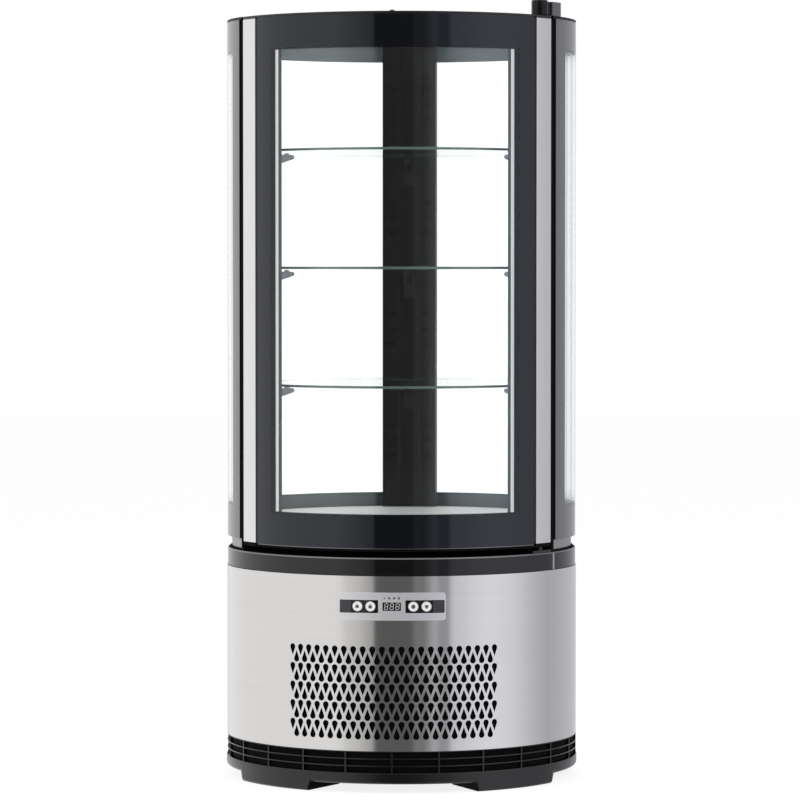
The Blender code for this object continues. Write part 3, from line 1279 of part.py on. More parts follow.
def make_fan(name, size, across, front, seat):
    """A square framed fan that blows towards +Y, with its motor on struts at the back."""
    centre = Vector((across, front, seat + size / 2))
    facing = Matrix.Translation(centre) @ Matrix.Rotation(math.radians(-90.0), 4, "X")
    ring_radius = size / 2 - size * FAN_WALL_SHARE
    hub_radius = size * FAN_HUB_SHARE
    strut_start = FAN_DEPTH - FAN_STRUT_DEPTH
    square = bmesh.new()
    half = size / 2
    add_block(square, (-half, -half, 0.0), (half, half, FAN_DEPTH))
    square.transform(facing)
    housing = finish(f"{name}_housing", square, BLACK_PLASTIC)
    hole = bmesh.new()
    add_pin(hole, ring_radius, -CUT_OVERRUN, FAN_DEPTH + CUT_OVERRUN, FAN_RING_SIDES, facing)
    use_tool(housing, f"guide_{name}_ring", hole, "DIFFERENCE")
    motor = bmesh.new()
    add_pin(motor, hub_radius, FAN_DEPTH - FAN_MOTOR_DEPTH, FAN_DEPTH - JOIN_OVERLAP, FAN_HUB_SIDES,
            facing)
    use_tool(housing, f"guide_{name}_motor", motor, "UNION")
    for index in range(FAN_STRUTS):
        strut = bmesh.new()
        add_block(strut, (hub_radius / 2, -FAN_STRUT_WIDTH / 2, strut_start),
                  (ring_radius + size * FAN_WALL_SHARE / 2, FAN_STRUT_WIDTH / 2,
                   FAN_DEPTH - 2 * JOIN_OVERLAP))
        strut.transform(facing @ Matrix.Rotation(math.tau * index / FAN_STRUTS, 4, "Z"))
        use_tool(housing, f"guide_{name}_strut_{index}", strut, "UNION")

    hub = bmesh.new()
    hub_back = FAN_DEPTH - FAN_MOTOR_DEPTH - FIT_GAP
    add_pin(hub, hub_radius, FAN_HUB_INSET, hub_back, FAN_HUB_SIDES, facing)
    impeller = finish(name, hub, BLACK_PLASTIC, centre)
    chord = hub_radius * FAN_BLADE_CHORD_SHARE
    middle = hub_back / 2
    for index in range(FAN_BLADES):
        blade = bmesh.new()
        add_block(blade, (hub_radius / 2, -chord, -FAN_BLADE_THICKNESS / 2),
                  (ring_radius - FAN_TIP_GAP, chord, FAN_BLADE_THICKNESS / 2))
        twist = Matrix.Rotation(math.radians(FAN_BLADE_TWIST), 4, "X")
        around = Matrix.Rotation(math.tau * index / FAN_BLADES, 4, "Z")
        blade.transform(facing @ Matrix.Translation((0.0, 0.0, middle)) @ around @ twist)
        use_tool(impeller, f"guide_{name}_blade_{index}", blade, "UNION")


def bent_route(corners):
    """Points of a pipe through corners, with each inner corner rounded by a bend."""
    route = [corners[0]]
    for before, corner, after in zip(corners, corners[1:], corners[2:]):
        start = corner + (before - corner).normalized() * PIPE_BEND
        end = corner + (after - corner).normalized() * PIPE_BEND
        for index in range(PIPE_BEND_POINTS + 1):
            share = index / PIPE_BEND_POINTS
            first = start.lerp(corner, share)
            second = corner.lerp(end, share)
            route.append(first.lerp(second, share))
    route.append(corners[-1])
    return route


def add_pipe(name, corners, swelling=None):
    """A copper line with round bends; a swelling is a stretch between two corners that is fatter."""
    curve = bpy.data.curves.new(name, "CURVE")
    curve.dimensions = "3D"
    curve.bevel_depth = PIPE_RADIUS
    curve.bevel_resolution = PIPE_RESOLUTION
    curve.use_fill_caps = True
    route = [(point, 1.0) for point in bent_route(corners)]
    if swelling:
        after, low, high, radius = swelling
        taper = Vector((0.0, 0.0, radius))
        swollen = [(low, 1.0), (low + taper, radius / PIPE_RADIUS),
                   (high - taper, radius / PIPE_RADIUS), (high, 1.0)]
        route[after:after] = swollen
    spline = curve.splines.new("POLY")
    spline.points.add(len(route) - 1)
    for point, (place, scale) in zip(spline.points, route):
        point.co = (*place, 1.0)
        point.radius = scale
    curve.materials.append(COPPER)
    pipe = bpy.data.objects.new(name, curve)
    bpy.context.scene.collection.objects.link(pipe)


def make_refrigerant_pipes():
    """Discharge and suction lines of the compressor, and the liquid line with its filter drier."""
    across, along = COMPRESSOR_PLACE
    pot_edge = COMPRESSOR_RADIUS + FLAT_SEAT_GAP
    beside_pot = PIPE_BEND * 2
    condenser_back = CONDENSER_BACK + FIT_GAP
    inlet_x = CONDENSER_LEFT + PIPE_RADIUS * 2
    add_pipe("discharge_pipe",
             (Vector((across - pot_edge, along, DISCHARGE_HEIGHT)),
              Vector((across - pot_edge - beside_pot, along, DISCHARGE_HEIGHT)),
              Vector((across - pot_edge - beside_pot, CONDENSER_FRONT / 2, DISCHARGE_HEIGHT)),
              Vector((inlet_x, CONDENSER_FRONT / 2, DISCHARGE_HEIGHT)),
              Vector((inlet_x, condenser_back, DISCHARGE_HEIGHT))))
    add_pipe("suction_pipe",
             (Vector((across + pot_edge, along, SUCTION_HEIGHT)),
              Vector((PIPE_TUB_X, along, SUCTION_HEIGHT)),
              Vector((PIPE_TUB_X, along, BENEATH_TUB))))
    drier_x, drier_y = DRIER_PLACE
    drier_low = LIQUID_HEIGHT + PIPE_BEND * 3 / 2
    outlet_x = CONDENSER_RIGHT - PIPE_RADIUS * 2
    liquid = (Vector((outlet_x, condenser_back, LIQUID_HEIGHT)),
              Vector((outlet_x, drier_y, LIQUID_HEIGHT)),
              Vector((drier_x, drier_y, LIQUID_HEIGHT)),
              Vector((drier_x, drier_y, BENEATH_TUB)))
    before_end = 1 + 2 * (PIPE_BEND_POINTS + 1)
    add_pipe("filter_drier", liquid,
             (before_end, Vector((drier_x, drier_y, drier_low)),
              Vector((drier_x, drier_y, drier_low + DRIER_LENGTH)), DRIER_RADIUS))


# Putting it together

make_base_tray()
make_skirt()
make_service_panel()
make_power_inlet()
make_control_bezel()
make_control_fascia()
make_buttons()
make_control_box()
make_base_rim()
make_neck_ring()
make_insulated_floor()
make_deck()
make_side_glazing()
make_front_posts()
make_rear_post()
make_light_bar()
make_shelves()
make_shelf_brackets()
make_top_frame()
make_ceiling()
make_lid()

door_pivot = true_spot(PIVOT_RADIUS, PIVOT_BEARING, DOOR_BOTTOM)
pivot_axis_place = Matrix.Translation(true_spot(PIVOT_RADIUS, PIVOT_BEARING))
make_door_glazing(door_pivot)
make_door_rails(door_pivot)
make_door_profiles(door_pivot)
make_door_gasket(door_pivot)
make_top_hinge(pivot_axis_place)
make_bottom_hinge(pivot_axis_place)

make_compressor()
make_coils()
make_fan("condenser_fan", CONDENSER_FAN_SIZE, CONDENSER_FAN_X, CONDENSER_FAN_FRONT, ON_TRAY)
make_fan("evaporator_fan", EVAPORATOR_FAN_SIZE, EVAPORATOR_FAN_X, EVAPORATOR_FAN_FRONT,
         TUB_FLOOR + FIT_GAP)
make_refrigerant_pipes()
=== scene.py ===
"""Looks of a tall round refrigerated display case for cakes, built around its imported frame.

Metres, +Z up, the front towards -Y. A bearing is an angle in degrees about the case's upright axis,
0 at the front and growing towards +X, so the glass, the rings and the steel are all worked out by
their radius, bearing and height.
"""

import bmesh
import bpy
import numpy as np
from mathutils import Matrix, Vector


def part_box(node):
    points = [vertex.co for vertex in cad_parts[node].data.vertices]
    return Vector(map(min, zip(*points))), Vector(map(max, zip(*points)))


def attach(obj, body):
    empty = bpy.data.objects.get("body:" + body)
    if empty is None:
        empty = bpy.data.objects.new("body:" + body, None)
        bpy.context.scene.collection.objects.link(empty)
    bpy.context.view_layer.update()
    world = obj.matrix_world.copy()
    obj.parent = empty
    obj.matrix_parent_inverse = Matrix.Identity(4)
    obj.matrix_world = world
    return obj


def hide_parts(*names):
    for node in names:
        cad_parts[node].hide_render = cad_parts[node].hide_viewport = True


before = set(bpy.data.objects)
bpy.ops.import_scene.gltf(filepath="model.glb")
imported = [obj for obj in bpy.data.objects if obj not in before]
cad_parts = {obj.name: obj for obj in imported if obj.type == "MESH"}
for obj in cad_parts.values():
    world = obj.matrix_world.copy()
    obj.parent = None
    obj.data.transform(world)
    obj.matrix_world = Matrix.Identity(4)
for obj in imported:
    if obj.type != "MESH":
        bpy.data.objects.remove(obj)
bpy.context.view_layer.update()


# Camera: the photograph's own view, worked out from the ellipses of the lid, shelves and base.
# A long lens a little to the right of the front, at two thirds of the case's height.

CAMERA_BEARING, CAMERA_DISTANCE, CAMERA_HEIGHT = 3.1, 5.13, 0.6565
CAMERA_DIP, CAMERA_PAN = 1.97, 0.023
LENS_MM, SENSOR_MM = 179.1, 36.0

camera_data = bpy.data.cameras.new("photo_camera")
camera_data.lens = LENS_MM
camera_data.sensor_width = SENSOR_MM
camera = bpy.data.objects.new("photo_camera", camera_data)
bpy.context.scene.collection.objects.link(camera)
camera.matrix_world = (Matrix.Rotation(np.radians(CAMERA_BEARING), 4, "Z")
                       @ Matrix.Translation((0.0, -CAMERA_DISTANCE, CAMERA_HEIGHT))
                       @ Matrix.Rotation(np.radians(CAMERA_PAN), 4, "Z")
                       @ Matrix.Rotation(np.radians(90.0 - CAMERA_DIP), 4, "X"))
bpy.context.scene.camera = camera
bpy.context.scene.view_settings.view_transform = "Standard"


# Studio light: a white cyclorama all round, which is what the glass and the steel mirror, with one
# dark opening in front of the case, where the camera stands.

STUDIO_LEVELS = ((-180.0, 0.70), (-163.0, 0.84), (-150.0, 1.00), (-42.0, 1.00), (-37.0, 0.95),
                 (-33.0, 0.80), (-25.0, 0.70), (-18.0, 0.52), (-15.0, 0.46), (-14.6, 0.13),
                 (10.6, 0.13), (11.4, 0.25), (15.0, 0.24), (17.0, 0.21), (21.0, 0.36), (23.5, 0.52),
                 (25.8, 0.52), (28.0, 0.37), (34.0, 0.39), (35.6, 0.76), (45.0, 0.84), (54.0, 0.94),
                 (64.0, 0.98), (80.0, 0.90), (98.0, 0.68), (114.0, 0.54), (140.0, 0.62), (180.0, 0.70))
COOL_FROM, COOL_TO, LESS_RED, MORE_BLUE = 20.0, 160.0, 0.02, 0.06
OVERHEAD_FROM, OVERHEAD_LEVEL = 0.35, 1.5
FILL_STRENGTH, BACKDROP_BEHIND_GLASS = 0.62, 1.35
KEY_LAMPS = ((-62.0, 2.6, 1.45, 30.0), (58.0, 2.6, 1.45, 26.0), (180.0, 2.4, 1.9, 16.0))
LAMP_SIZE, LAMP_AIM_HEIGHT = 1.5, 0.5
CLEAR_BOUNCES = 32


class Signal:
    """A socket in a node tree. Sums on it add Math nodes, so that a mask reads as its formula."""

    def __init__(self, tree, socket):
        self.tree = tree
        self.socket = socket

    def node(self, kind, sockets=None, output=0, **settings):
        """Add any other node: settings go in first, then a value or a link for each socket."""
        made = self.tree.nodes.new("ShaderNode" + kind)
        for name, value in settings.items():
            setattr(made, name, value)
        for name, value in (sockets or {}).items():
            if isinstance(value, Signal):
                value.into(made, name)
            else:
                made.inputs[name].default_value = value
        return Signal(self.tree, made.outputs[output])

    def into(self, node, name):
        """Link this signal to a socket of another node."""
        self.tree.links.new(self.socket, node.inputs[name])

    def sibling(self, output):
        """Another output of the same node."""
        return Signal(self.tree, self.socket.node.outputs[output])

    def maths(self, operation, *values):
        return self.node("Math", dict(enumerate(values)), operation=operation)

    def __add__(self, other):
        return self.maths("ADD", self, other)

    def __radd__(self, other):
        return self.maths("ADD", other, self)

    def __mul__(self, other):
        return self.maths("MULTIPLY", self, other)

    def __rmul__(self, other):
        return self.maths("MULTIPLY", other, self)

    def __truediv__(self, other):
        return self.maths("DIVIDE", self, other)

    def __pow__(self, other):
        return self.maths("POWER", self, other)

    def __gt__(self, other):
        return self.maths("GREATER_THAN", self, other)


def part_of(vector, axis):
    """The part of a vector signal along axis 0, 1 or 2."""
    return vector.node("SeparateXYZ", {"Vector": vector}, output=axis)


def bearing_of(vector):
    """Bearing in degrees of a vector signal: the arc tangent of x over minus y."""
    return vector.maths("DEGREES", vector.maths("ARCTAN2", part_of(vector, 0), part_of(vector, 1) * -1.0))


def mixed(share, first, second):
    """A colour on the way from the first to the second."""
    return share.node("Mix", {0: share, 6: first, 7: second}, output=2, data_type="RGBA")


world = bpy.data.worlds.new("studio")
world.use_nodes = True
bpy.context.scene.world = world
direction = Signal(world.node_tree, world.node_tree.nodes.new("ShaderNodeTexCoord").outputs["Generated"])
mirrored = direction.node("ValToRGB", {"Fac": bearing_of(direction) / 360.0 + 0.5})
elements = mirrored.socket.node.color_ramp.elements
for _ in STUDIO_LEVELS[2:]:
    elements.new(1.0)
for element, (place, level) in zip(elements, STUDIO_LEVELS):
    cool = COOL_FROM < place < COOL_TO
    element.position = place / 360.0 + 0.5
    element.color = (level * (1.0 - LESS_RED * cool), level, level * (1.0 + MORE_BLUE * cool), 1.0)
upward = part_of(direction, 2)
overhead = upward.node("MapRange", {"Value": upward, "From Min": OVERHEAD_FROM, "From Max": 1.0})
mirrored = mixed(overhead, mirrored, (OVERHEAD_LEVEL, OVERHEAD_LEVEL, OVERHEAD_LEVEL, 1.0))
light_path = direction.node("LightPath")
seen_ray = light_path.maths("MAXIMUM", light_path, light_path.sibling("Is Transmission Ray"))
behind_glass = light_path.sibling("Transparent Depth") > 0.5
plain = mixed(seen_ray, (FILL_STRENGTH, FILL_STRENGTH, FILL_STRENGTH, 1.0),
              1.0 + behind_glass * (BACKDROP_BEHIND_GLASS - 1.0))
mixed(light_path.sibling("Is Glossy Ray"), plain, mirrored).into(world.node_tree.nodes["Background"], "Color")

for lamp_index, (bearing, distance, height, power) in enumerate(KEY_LAMPS):
    lamp_data = bpy.data.lights.new(f"softbox_{lamp_index}", "AREA")
    lamp_data.energy = power
    lamp_data.size = LAMP_SIZE
    lamp = bpy.data.objects.new(lamp_data.name, lamp_data)
    turn = np.radians(bearing)
    place = Vector((distance * np.sin(turn), -distance * np.cos(turn), height))
    away = place - Vector((0.0, 0.0, LAMP_AIM_HEIGHT))
    lamp.matrix_world = Matrix.Translation(place) @ away.to_track_quat("Z", "Y").to_matrix().to_4x4()
    lamp.visible_glossy = False
    bpy.context.scene.collection.objects.link(lamp)

# Light goes through up to sixteen glass faces on its way past the case
bpy.context.scene.cycles.transparent_max_bounces = CLEAR_BOUNCES


# Floor: plain white studio board that keeps the case's soft shadow and otherwise runs into the
# white backdrop.

FLOOR_HALF, FLOOR_COLOUR = 12.0, 0.90
FLOOR_GLOW, FLOOR_WHITE, FLOOR_BEHIND_GLASS = 0.75, 1.13, 0.45

floor_mesh = bpy.data.meshes.new("studio_floor")
floor_mesh.from_pydata([(-FLOOR_HALF, -FLOOR_HALF, 0.0), (FLOOR_HALF, -FLOOR_HALF, 0.0),
                        (FLOOR_HALF, FLOOR_HALF, 0.0), (-FLOOR_HALF, FLOOR_HALF, 0.0)], [], [(0, 1, 2, 3)])
floor = bpy.data.objects.new("studio_floor", floor_mesh)
bpy.context.scene.collection.objects.link(floor)
board = bpy.data.materials.new("studio_board")
board.use_nodes = True
board_shader = board.node_tree.nodes["Principled BSDF"]
board_shader.inputs["Base Color"].default_value = (FLOOR_COLOUR, FLOOR_COLOUR, FLOOR_COLOUR, 1.0)
board_shader.inputs["Roughness"].default_value = 1.0
board_shader.inputs["Specular IOR Level"].default_value = 0.0
board_start = Signal(board.node_tree, board_shader.outputs[0])
board_seen = board_start.node("LightPath")
board_level = FLOOR_WHITE + (board_seen.sibling("Transparent Depth") > 0.5) * FLOOR_BEHIND_GLASS
board_glow = board_start.node("Emission", {"Color": board_level, "Strength": 1.0})
board_mix = board_start.node("MixShader", {0: board_seen * FLOOR_GLOW, 1: board_start, 2: board_glow})
board_mix.into(board.node_tree.nodes["Material Output"], "Surface")
floor_mesh.materials.append(board)
floor.visible_glossy = False


# Base tray: one black moulding under the whole case, with four broad feet, a rounded lower rim, a
# band of louvres between upright ribs, and a floor. Textured polypropylene, straight from the mould.

TRAY_RADIUS, TRAY_EDGE = 0.2259, 0.0045
TRAY_BOTTOM, TRAY_FLOOR, TRAY_SHOULDER = 0.0114, 0.0149, 0.0255
FOOT_SPANS = ((27.0, 61.7), (118.3, 153.0))
FOOT_INNER_RADIUS, FOOT_ROUNDING = 0.148, 1.3
LOUVRE_RADIUS, LOUVRE_TOP, LOUVRE_DEPTH, LOUVRE_BAR = 0.2249, 0.0521, 0.0035, 0.0015
RIB_PITCH, RIB_HALF = 15.0, 0.28
SLEEVE_INNER, SLEEVE_OUTER = 0.2195, 0.2213
FULL_TURN, SWEEP_STEP = 360.0, 1.5
SHARP_TURN, BEVEL_TURN = 32.0, 40.0
FILLET_LEAD = 0.3
LOUVRE_FOOT, HEAD_RAIL = TRAY_SHOULDER - 0.001, 0.001
DULL = {"Specular IOR Level": 0.25}


def height_span(node):
    """Low and high end of a CAD node."""
    return [corner[2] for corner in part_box(node)]


def around(radius, bearing, height):
    """Places on the case: x is radius times sin(bearing), y is minus radius times cos(bearing)."""
    turn = np.radians(bearing)
    return np.stack(np.broadcast_arrays(radius * np.sin(turn), -radius * np.cos(turn), height), axis=-1)


def grid_faces(rows, columns, wrap_rows=False, wrap_columns=False):
    """Quads between neighbours of a grid of points that are numbered row by row."""
    numbers = np.arange(rows * columns).reshape(rows, columns)
    if wrap_rows:
        numbers = np.vstack([numbers, numbers[:1]])
    if wrap_columns:
        numbers = np.hstack([numbers, numbers[:, :1]])
    corners = (numbers[:-1, :-1], numbers[:-1, 1:], numbers[1:, 1:], numbers[1:, :-1])
    return np.stack([corner.ravel() for corner in corners], axis=-1)


def bearings_between(first, last, step=SWEEP_STEP, extra=()):
    """Even bearings from first to last, with any extra ones that must be met exactly."""
    stops = np.linspace(first, last, max(2, int(round((last - first) / step)) + 1))
    extra = np.asarray([stop for stop in extra if first < stop < last], float)
    if len(extra):
        stops = stops[np.abs(stops[:, None] - extra[None, :]).min(axis=1) > step / 4]
    return np.unique(np.concatenate([stops, extra, (first, last)]))


def rounded(corners, fillets, steps=4):
    """A closed outline with rounded corners. Each corner becomes a curve between the points one
    fillet before and after it: at share t the start counts 1 less t, squared, the corner counts
    twice t times 1 less t, and the end counts t squared."""
    corners = np.asarray(corners, float)
    before = np.roll(corners, 1, axis=0) - corners
    after = np.roll(corners, -1, axis=0) - corners
    before /= np.linalg.norm(before, axis=1, keepdims=True)
    after /= np.linalg.norm(after, axis=1, keepdims=True)
    reach = np.broadcast_to(np.asarray(fillets, float), len(corners))[:, None]
    share = np.linspace(0.0, 1.0, steps + 1)[None, :, None]
    start = (corners + before * reach)[:, None]
    end = (corners + after * reach)[:, None]
    arc = (1 - share) ** 2 * start + 2 * share * (1 - share) * corners[:, None] + share ** 2 * end
    lead_in, lead_out = FILLET_LEAD * (before * reach)[:, None], FILLET_LEAD * (after * reach)[:, None]
    return np.concatenate([start + lead_in, arc, end + lead_out], axis=1).reshape(-1, 2)


def swept(profile, bearings):
    """A closed profile of (radius, height) carried round the axis through the bearings."""
    profile = np.asarray(profile, float)
    full = bearings[-1] - bearings[0] >= FULL_TURN - 1e-6
    if full:
        bearings = bearings[:-1]
    points = around(profile[:, 0], bearings[:, None], profile[:, 1])
    faces = grid_faces(len(bearings), len(profile), full, True).tolist()
    if not full:
        ring = np.arange(len(profile))
        faces += [ring.tolist(), (ring[::-1] + (len(bearings) - 1) * len(profile)).tolist()]
    return points.reshape(-1, 3), faces


def pierced_wall(bearings, heights, outer, inner, is_open):
    """A curved wall on a grid of bearings and heights, without the cells where is_open(middle
    bearing, middle height) holds; outer and inner are its two radii."""
    full = bool(bearings[-1] - bearings[0] >= FULL_TURN - 1e-6)
    columns, rows = len(bearings) - full, len(heights)
    shift = columns * rows
    skins = [around(radius, bearings[:columns, None], heights).reshape(-1, 3) for radius in (outer, inner)]
    middles = ((bearings[:-1] + bearings[1:])[:, None] / 2, (heights[:-1] + heights[1:])[None, :] / 2)
    solid = ~np.broadcast_to(is_open(*middles), (len(bearings) - 1, rows - 1))
    border = np.pad(solid, 1)
    numbers = np.arange(shift).reshape(columns, rows)
    if full:
        numbers = np.vstack([numbers, numbers[:1]])
        border[0, 1:-1], border[-1, 1:-1] = solid[-1], solid[0]
    low_left, low_right = numbers[:-1, :-1], numbers[1:, :-1]
    top_left, top_right = numbers[:-1, 1:], numbers[1:, 1:]
    quads = [np.stack([corner[solid] for corner in (low_left, low_right, top_right, top_left)], axis=-1)]
    quads.append(quads[0][:, ::-1] + shift)
    for neighbour, start, end in ((border[:-2, 1:-1], top_left, low_left),
                                  (border[2:, 1:-1], low_right, top_right),
                                  (border[1:-1, :-2], low_left, low_right),
                                  (border[1:-1, 2:], top_right, top_left)):
        start, end = start[solid & ~neighbour], end[solid & ~neighbour]
        quads.append(np.stack([end, start, start + shift, end + shift], axis=-1))
    used, quads = np.unique(np.concatenate(quads), return_inverse=True)
    return np.concatenate(skins)[used], quads.reshape(-1, 4)


def joined(*shells):
    """Several (points, faces) put together as one."""
    starts = np.cumsum([0] + [len(points) for points, _ in shells])
    faces = [[int(corner) + start for corner in face]
             for (_, shell_faces), start in zip(shells, starts.tolist()) for face in shell_faces]
    return np.concatenate([points for points, _ in shells]), faces


def new_piece(name, shell, *entry, **options):
    """Make a piece of the case from (points, faces); the rest is what enter_piece takes."""
    points, faces = shell
    mesh = bpy.data.meshes.new(name)
    mesh.from_pydata(np.asarray(points).tolist(), [], [list(map(int, face)) for face in faces])
    return enter_piece(name, mesh, *entry, **options)


def enter_piece(name, mesh, finish, slot, body, nodes, edge=0.0, edge_steps=3, merge=0.0, sheet=0.0):
    """Tidy a mesh, give it a sheet's thickness if it is a skin, its finish and its rounded edges,
    hang it on its body and hide the CAD nodes it stands for."""
    shape = bmesh.new()
    shape.from_mesh(mesh)
    if merge:
        bmesh.ops.remove_doubles(shape, verts=shape.verts, dist=merge)
    bmesh.ops.recalc_face_normals(shape, faces=shape.faces)
    if sheet:
        bmesh.ops.solidify(shape, geom=shape.faces[:], thickness=sheet)
    shape.to_mesh(mesh)
    shape.free()
    mesh.shade_smooth()
    mesh.set_sharp_from_angle(angle=np.radians(SHARP_TURN))
    mesh.materials.append(finish)
    piece = bpy.data.objects.new(name, mesh)
    bpy.context.scene.collection.objects.link(piece)
    if edge:
        bevel = piece.modifiers.new("eased_edges", "BEVEL")
        bevel.width = edge
        bevel.segments = edge_steps
        bevel.limit_method = "ANGLE"
        bevel.angle_limit = np.radians(BEVEL_TURN)
        bevel.harden_normals = True
    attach(piece, body)
    if nodes:
        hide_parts(*nodes)
    return piece


def new_finish(name, colour, roughness, metallic=0.0, **sockets):
    """A Principled material with plain values; gives the material, its shader and the signal of
    the piece's own coordinates."""
    material = bpy.data.materials.new(name)
    material.use_nodes = True
    shader = material.node_tree.nodes["Principled BSDF"]
    sockets.update({"Base Color": (*colour, 1.0), "Roughness": roughness, "Metallic": metallic})
    for socket, value in sockets.items():
        shader.inputs[socket].default_value = value
    coordinates = material.node_tree.nodes.new("ShaderNodeTexCoord").outputs["Object"]
    return material, shader, Signal(material.node_tree, coordinates)


def speckle(place, scale, detail=2.0, roughness=0.5):
    """A noise from 0 to 1 at so many cells to the metre."""
    return place.node("TexNoise", {"Vector": place, "Scale": scale, "Detail": detail, "Roughness": roughness})


def grain(shader, height, strength, distance):
    """Feed a height signal to the shader's normal through a Bump node."""
    height.node("Bump", {"Height": height, "Strength": strength, "Distance": distance}).into(shader, "Normal")


def mottled_finish(name, colour, low, spread, scale, detail=2.0, metallic=0.0, **sockets):
    """A plain material whose roughness wanders from low to low + spread in cells of that scale."""
    material, shader, place = new_finish(name, colour, low, metallic, **sockets)
    (low + speckle(place, scale, detail) * spread).into(shader, "Roughness")
    return material, shader, place


def moulded_finish(name, colour, roughness, grain_scale, grain_depth, **sockets):
    """Moulded plastic: a fine spark-eroded grain, and slow changes of sheen from handling."""
    material, shader, place = new_finish(name, colour, roughness, **sockets)
    fine = speckle(place, grain_scale, 3.0, 0.6)
    (roughness - 0.05 + speckle(place, 14.0) * 0.07 + fine * 0.05).into(shader, "Roughness")
    grain(shader, fine, 0.25, grain_depth)
    return material


def refinish(piece, finish, is_chosen):
    """Give another finish to the faces that are chosen by their middle, their normal and their
    outward lean, which is 1 straight out of the case and -1 straight into it."""
    faces = piece.data.polygons
    middles, normals, slots = np.empty(len(faces) * 3), np.empty(len(faces) * 3), np.empty(len(faces), int)
    for key, values in (("center", middles), ("normal", normals), ("material_index", slots)):
        faces.foreach_get(key, values)
    middles, normals = middles.reshape(-1, 3), normals.reshape(-1, 3)
    lean = (middles[:, :2] * normals[:, :2]).sum(axis=1) / (np.hypot(middles[:, 0], middles[:, 1]) + 1e-9)
    piece.data.materials.append(finish)
    slots[is_chosen(middles, normals, lean)] = len(piece.data.materials) - 1
    faces.foreach_set("material_index", slots)


def tray_slab():
    """The floor, rim and feet: rings of points from the middle of the underside out over the rounded
    lower edge, in along the top and down to the floor. The underside is at 0 on the feet and at
    TRAY_BOTTOM between them. Over FOOT_ROUNDING degrees at each foot's end, the step between the two
    is three times the square of the share gone, less twice its cube."""
    ends = np.concatenate([side * np.linspace(end - FOOT_ROUNDING, end + FOOT_ROUNDING, 9)
                           for span in FOOT_SPANS for end in span for side in (-1, 1)])
    bearings = bearings_between(-180.0, 180.0, extra=ends)[:-1]
    on_foot = np.zeros_like(bearings)
    for first, last in FOOT_SPANS:
        share = np.minimum(np.abs(bearings) - first, last - np.abs(bearings)) / FOOT_ROUNDING
        share = np.clip(share, 0.0, 1.0)
        on_foot = np.maximum(on_foot, share * share * (3 - 2 * share))
    low = TRAY_BOTTOM * (1.0 - on_foot)
    edge = TRAY_EDGE * (1.0 - 0.2 * on_foot)
    rings = [(0.0, TRAY_BOTTOM), (FOOT_INNER_RADIUS - 0.004, TRAY_BOTTOM),
             (FOOT_INNER_RADIUS, TRAY_BOTTOM - (TRAY_BOTTOM - low) * 0.9), (FOOT_INNER_RADIUS + 0.003, low)]
    rings += [(TRAY_RADIUS - edge * (1 - np.sin(turn)), low + edge * (1 - np.cos(turn)))
              for turn in np.radians(np.linspace(0.0, 90.0, 7))]
    rings += [(TRAY_RADIUS, low * 0.3 + LOUVRE_FOOT * 0.7), (TRAY_RADIUS, TRAY_SHOULDER - 0.0012),
              (TRAY_RADIUS - 0.0003, TRAY_SHOULDER - 0.0003), (TRAY_RADIUS - 0.0012, TRAY_SHOULDER),
              (SLEEVE_INNER, TRAY_SHOULDER), (SLEEVE_INNER, TRAY_FLOOR), (0.0, TRAY_FLOOR)]
    points = np.concatenate([around(radius, bearings, height) for radius, height in rings])
    return points, grid_faces(len(rings), len(bearings), False, True)


def louvre_wall():
    """Two bars and a foot and a head rail, crossed by the ribs: everything else is open."""
    ribs = np.arange(-180.0, 180.0, RIB_PITCH)
    first, last = -180.0 - RIB_HALF, 180.0 - RIB_HALF
    bearings = np.unique(np.concatenate([np.arange(first, last + 0.1, SWEEP_STEP), ribs - RIB_HALF,
                                         ribs + RIB_HALF, (last,)]))
    bearings = bearings[(bearings >= first - 1e-9) & (bearings <= last + 1e-9)]
    opening = (LOUVRE_TOP - TRAY_SHOULDER - 2 * LOUVRE_BAR - HEAD_RAIL) / 3
    lows = TRAY_SHOULDER + np.arange(3) * (opening + LOUVRE_BAR)
    heights = np.unique(np.concatenate([[LOUVRE_FOOT], lows, lows + opening, [LOUVRE_TOP]]))

    def is_open(bearing, height):
        off_rib = np.abs(np.mod(bearing + RIB_PITCH / 2, RIB_PITCH) - RIB_PITCH / 2)
        in_gap = ((height > lows[:, None, None]) & (height < lows[:, None, None] + opening)).any(axis=0)
        return (off_rib > RIB_HALF) & in_gap

    return pierced_wall(bearings, heights, LOUVRE_RADIUS, LOUVRE_RADIUS - LOUVRE_DEPTH, is_open)


tray_plastic = moulded_finish("tray_plastic", (0.0025, 0.0025, 0.0032), 0.22, 1500.0, 0.00006)
tray = new_piece("tray_moulding", joined(tray_slab(), louvre_wall()), tray_plastic,
                 "black_plastic", "case", ["base_tray"], edge=0.0003, edge_steps=2, merge=1e-6)
felt_black, _, _ = mottled_finish("felt_black", (0.0025, 0.0025, 0.0025), 0.8, 0.2, 700.0,
                                  **{"Specular IOR Level": 0.1})
refinish(tray, felt_black,
         lambda middles, normals, lean: (lean < 0.6) & (middles[:, 2] < TRAY_BOTTOM + 0.0001))
sleeve_high = height_span("base_tray")[1]
sleeve = rounded(((SLEEVE_INNER, LOUVRE_FOOT), (SLEEVE_OUTER, LOUVRE_FOOT), (SLEEVE_OUTER, sleeve_high),
                  (SLEEVE_INNER, sleeve_high)), 0.0004)
new_piece("tray_sleeve", swept(sleeve, bearings_between(0.0, FULL_TURN, 3.0)), felt_black, "black_plastic",
          "case", [])
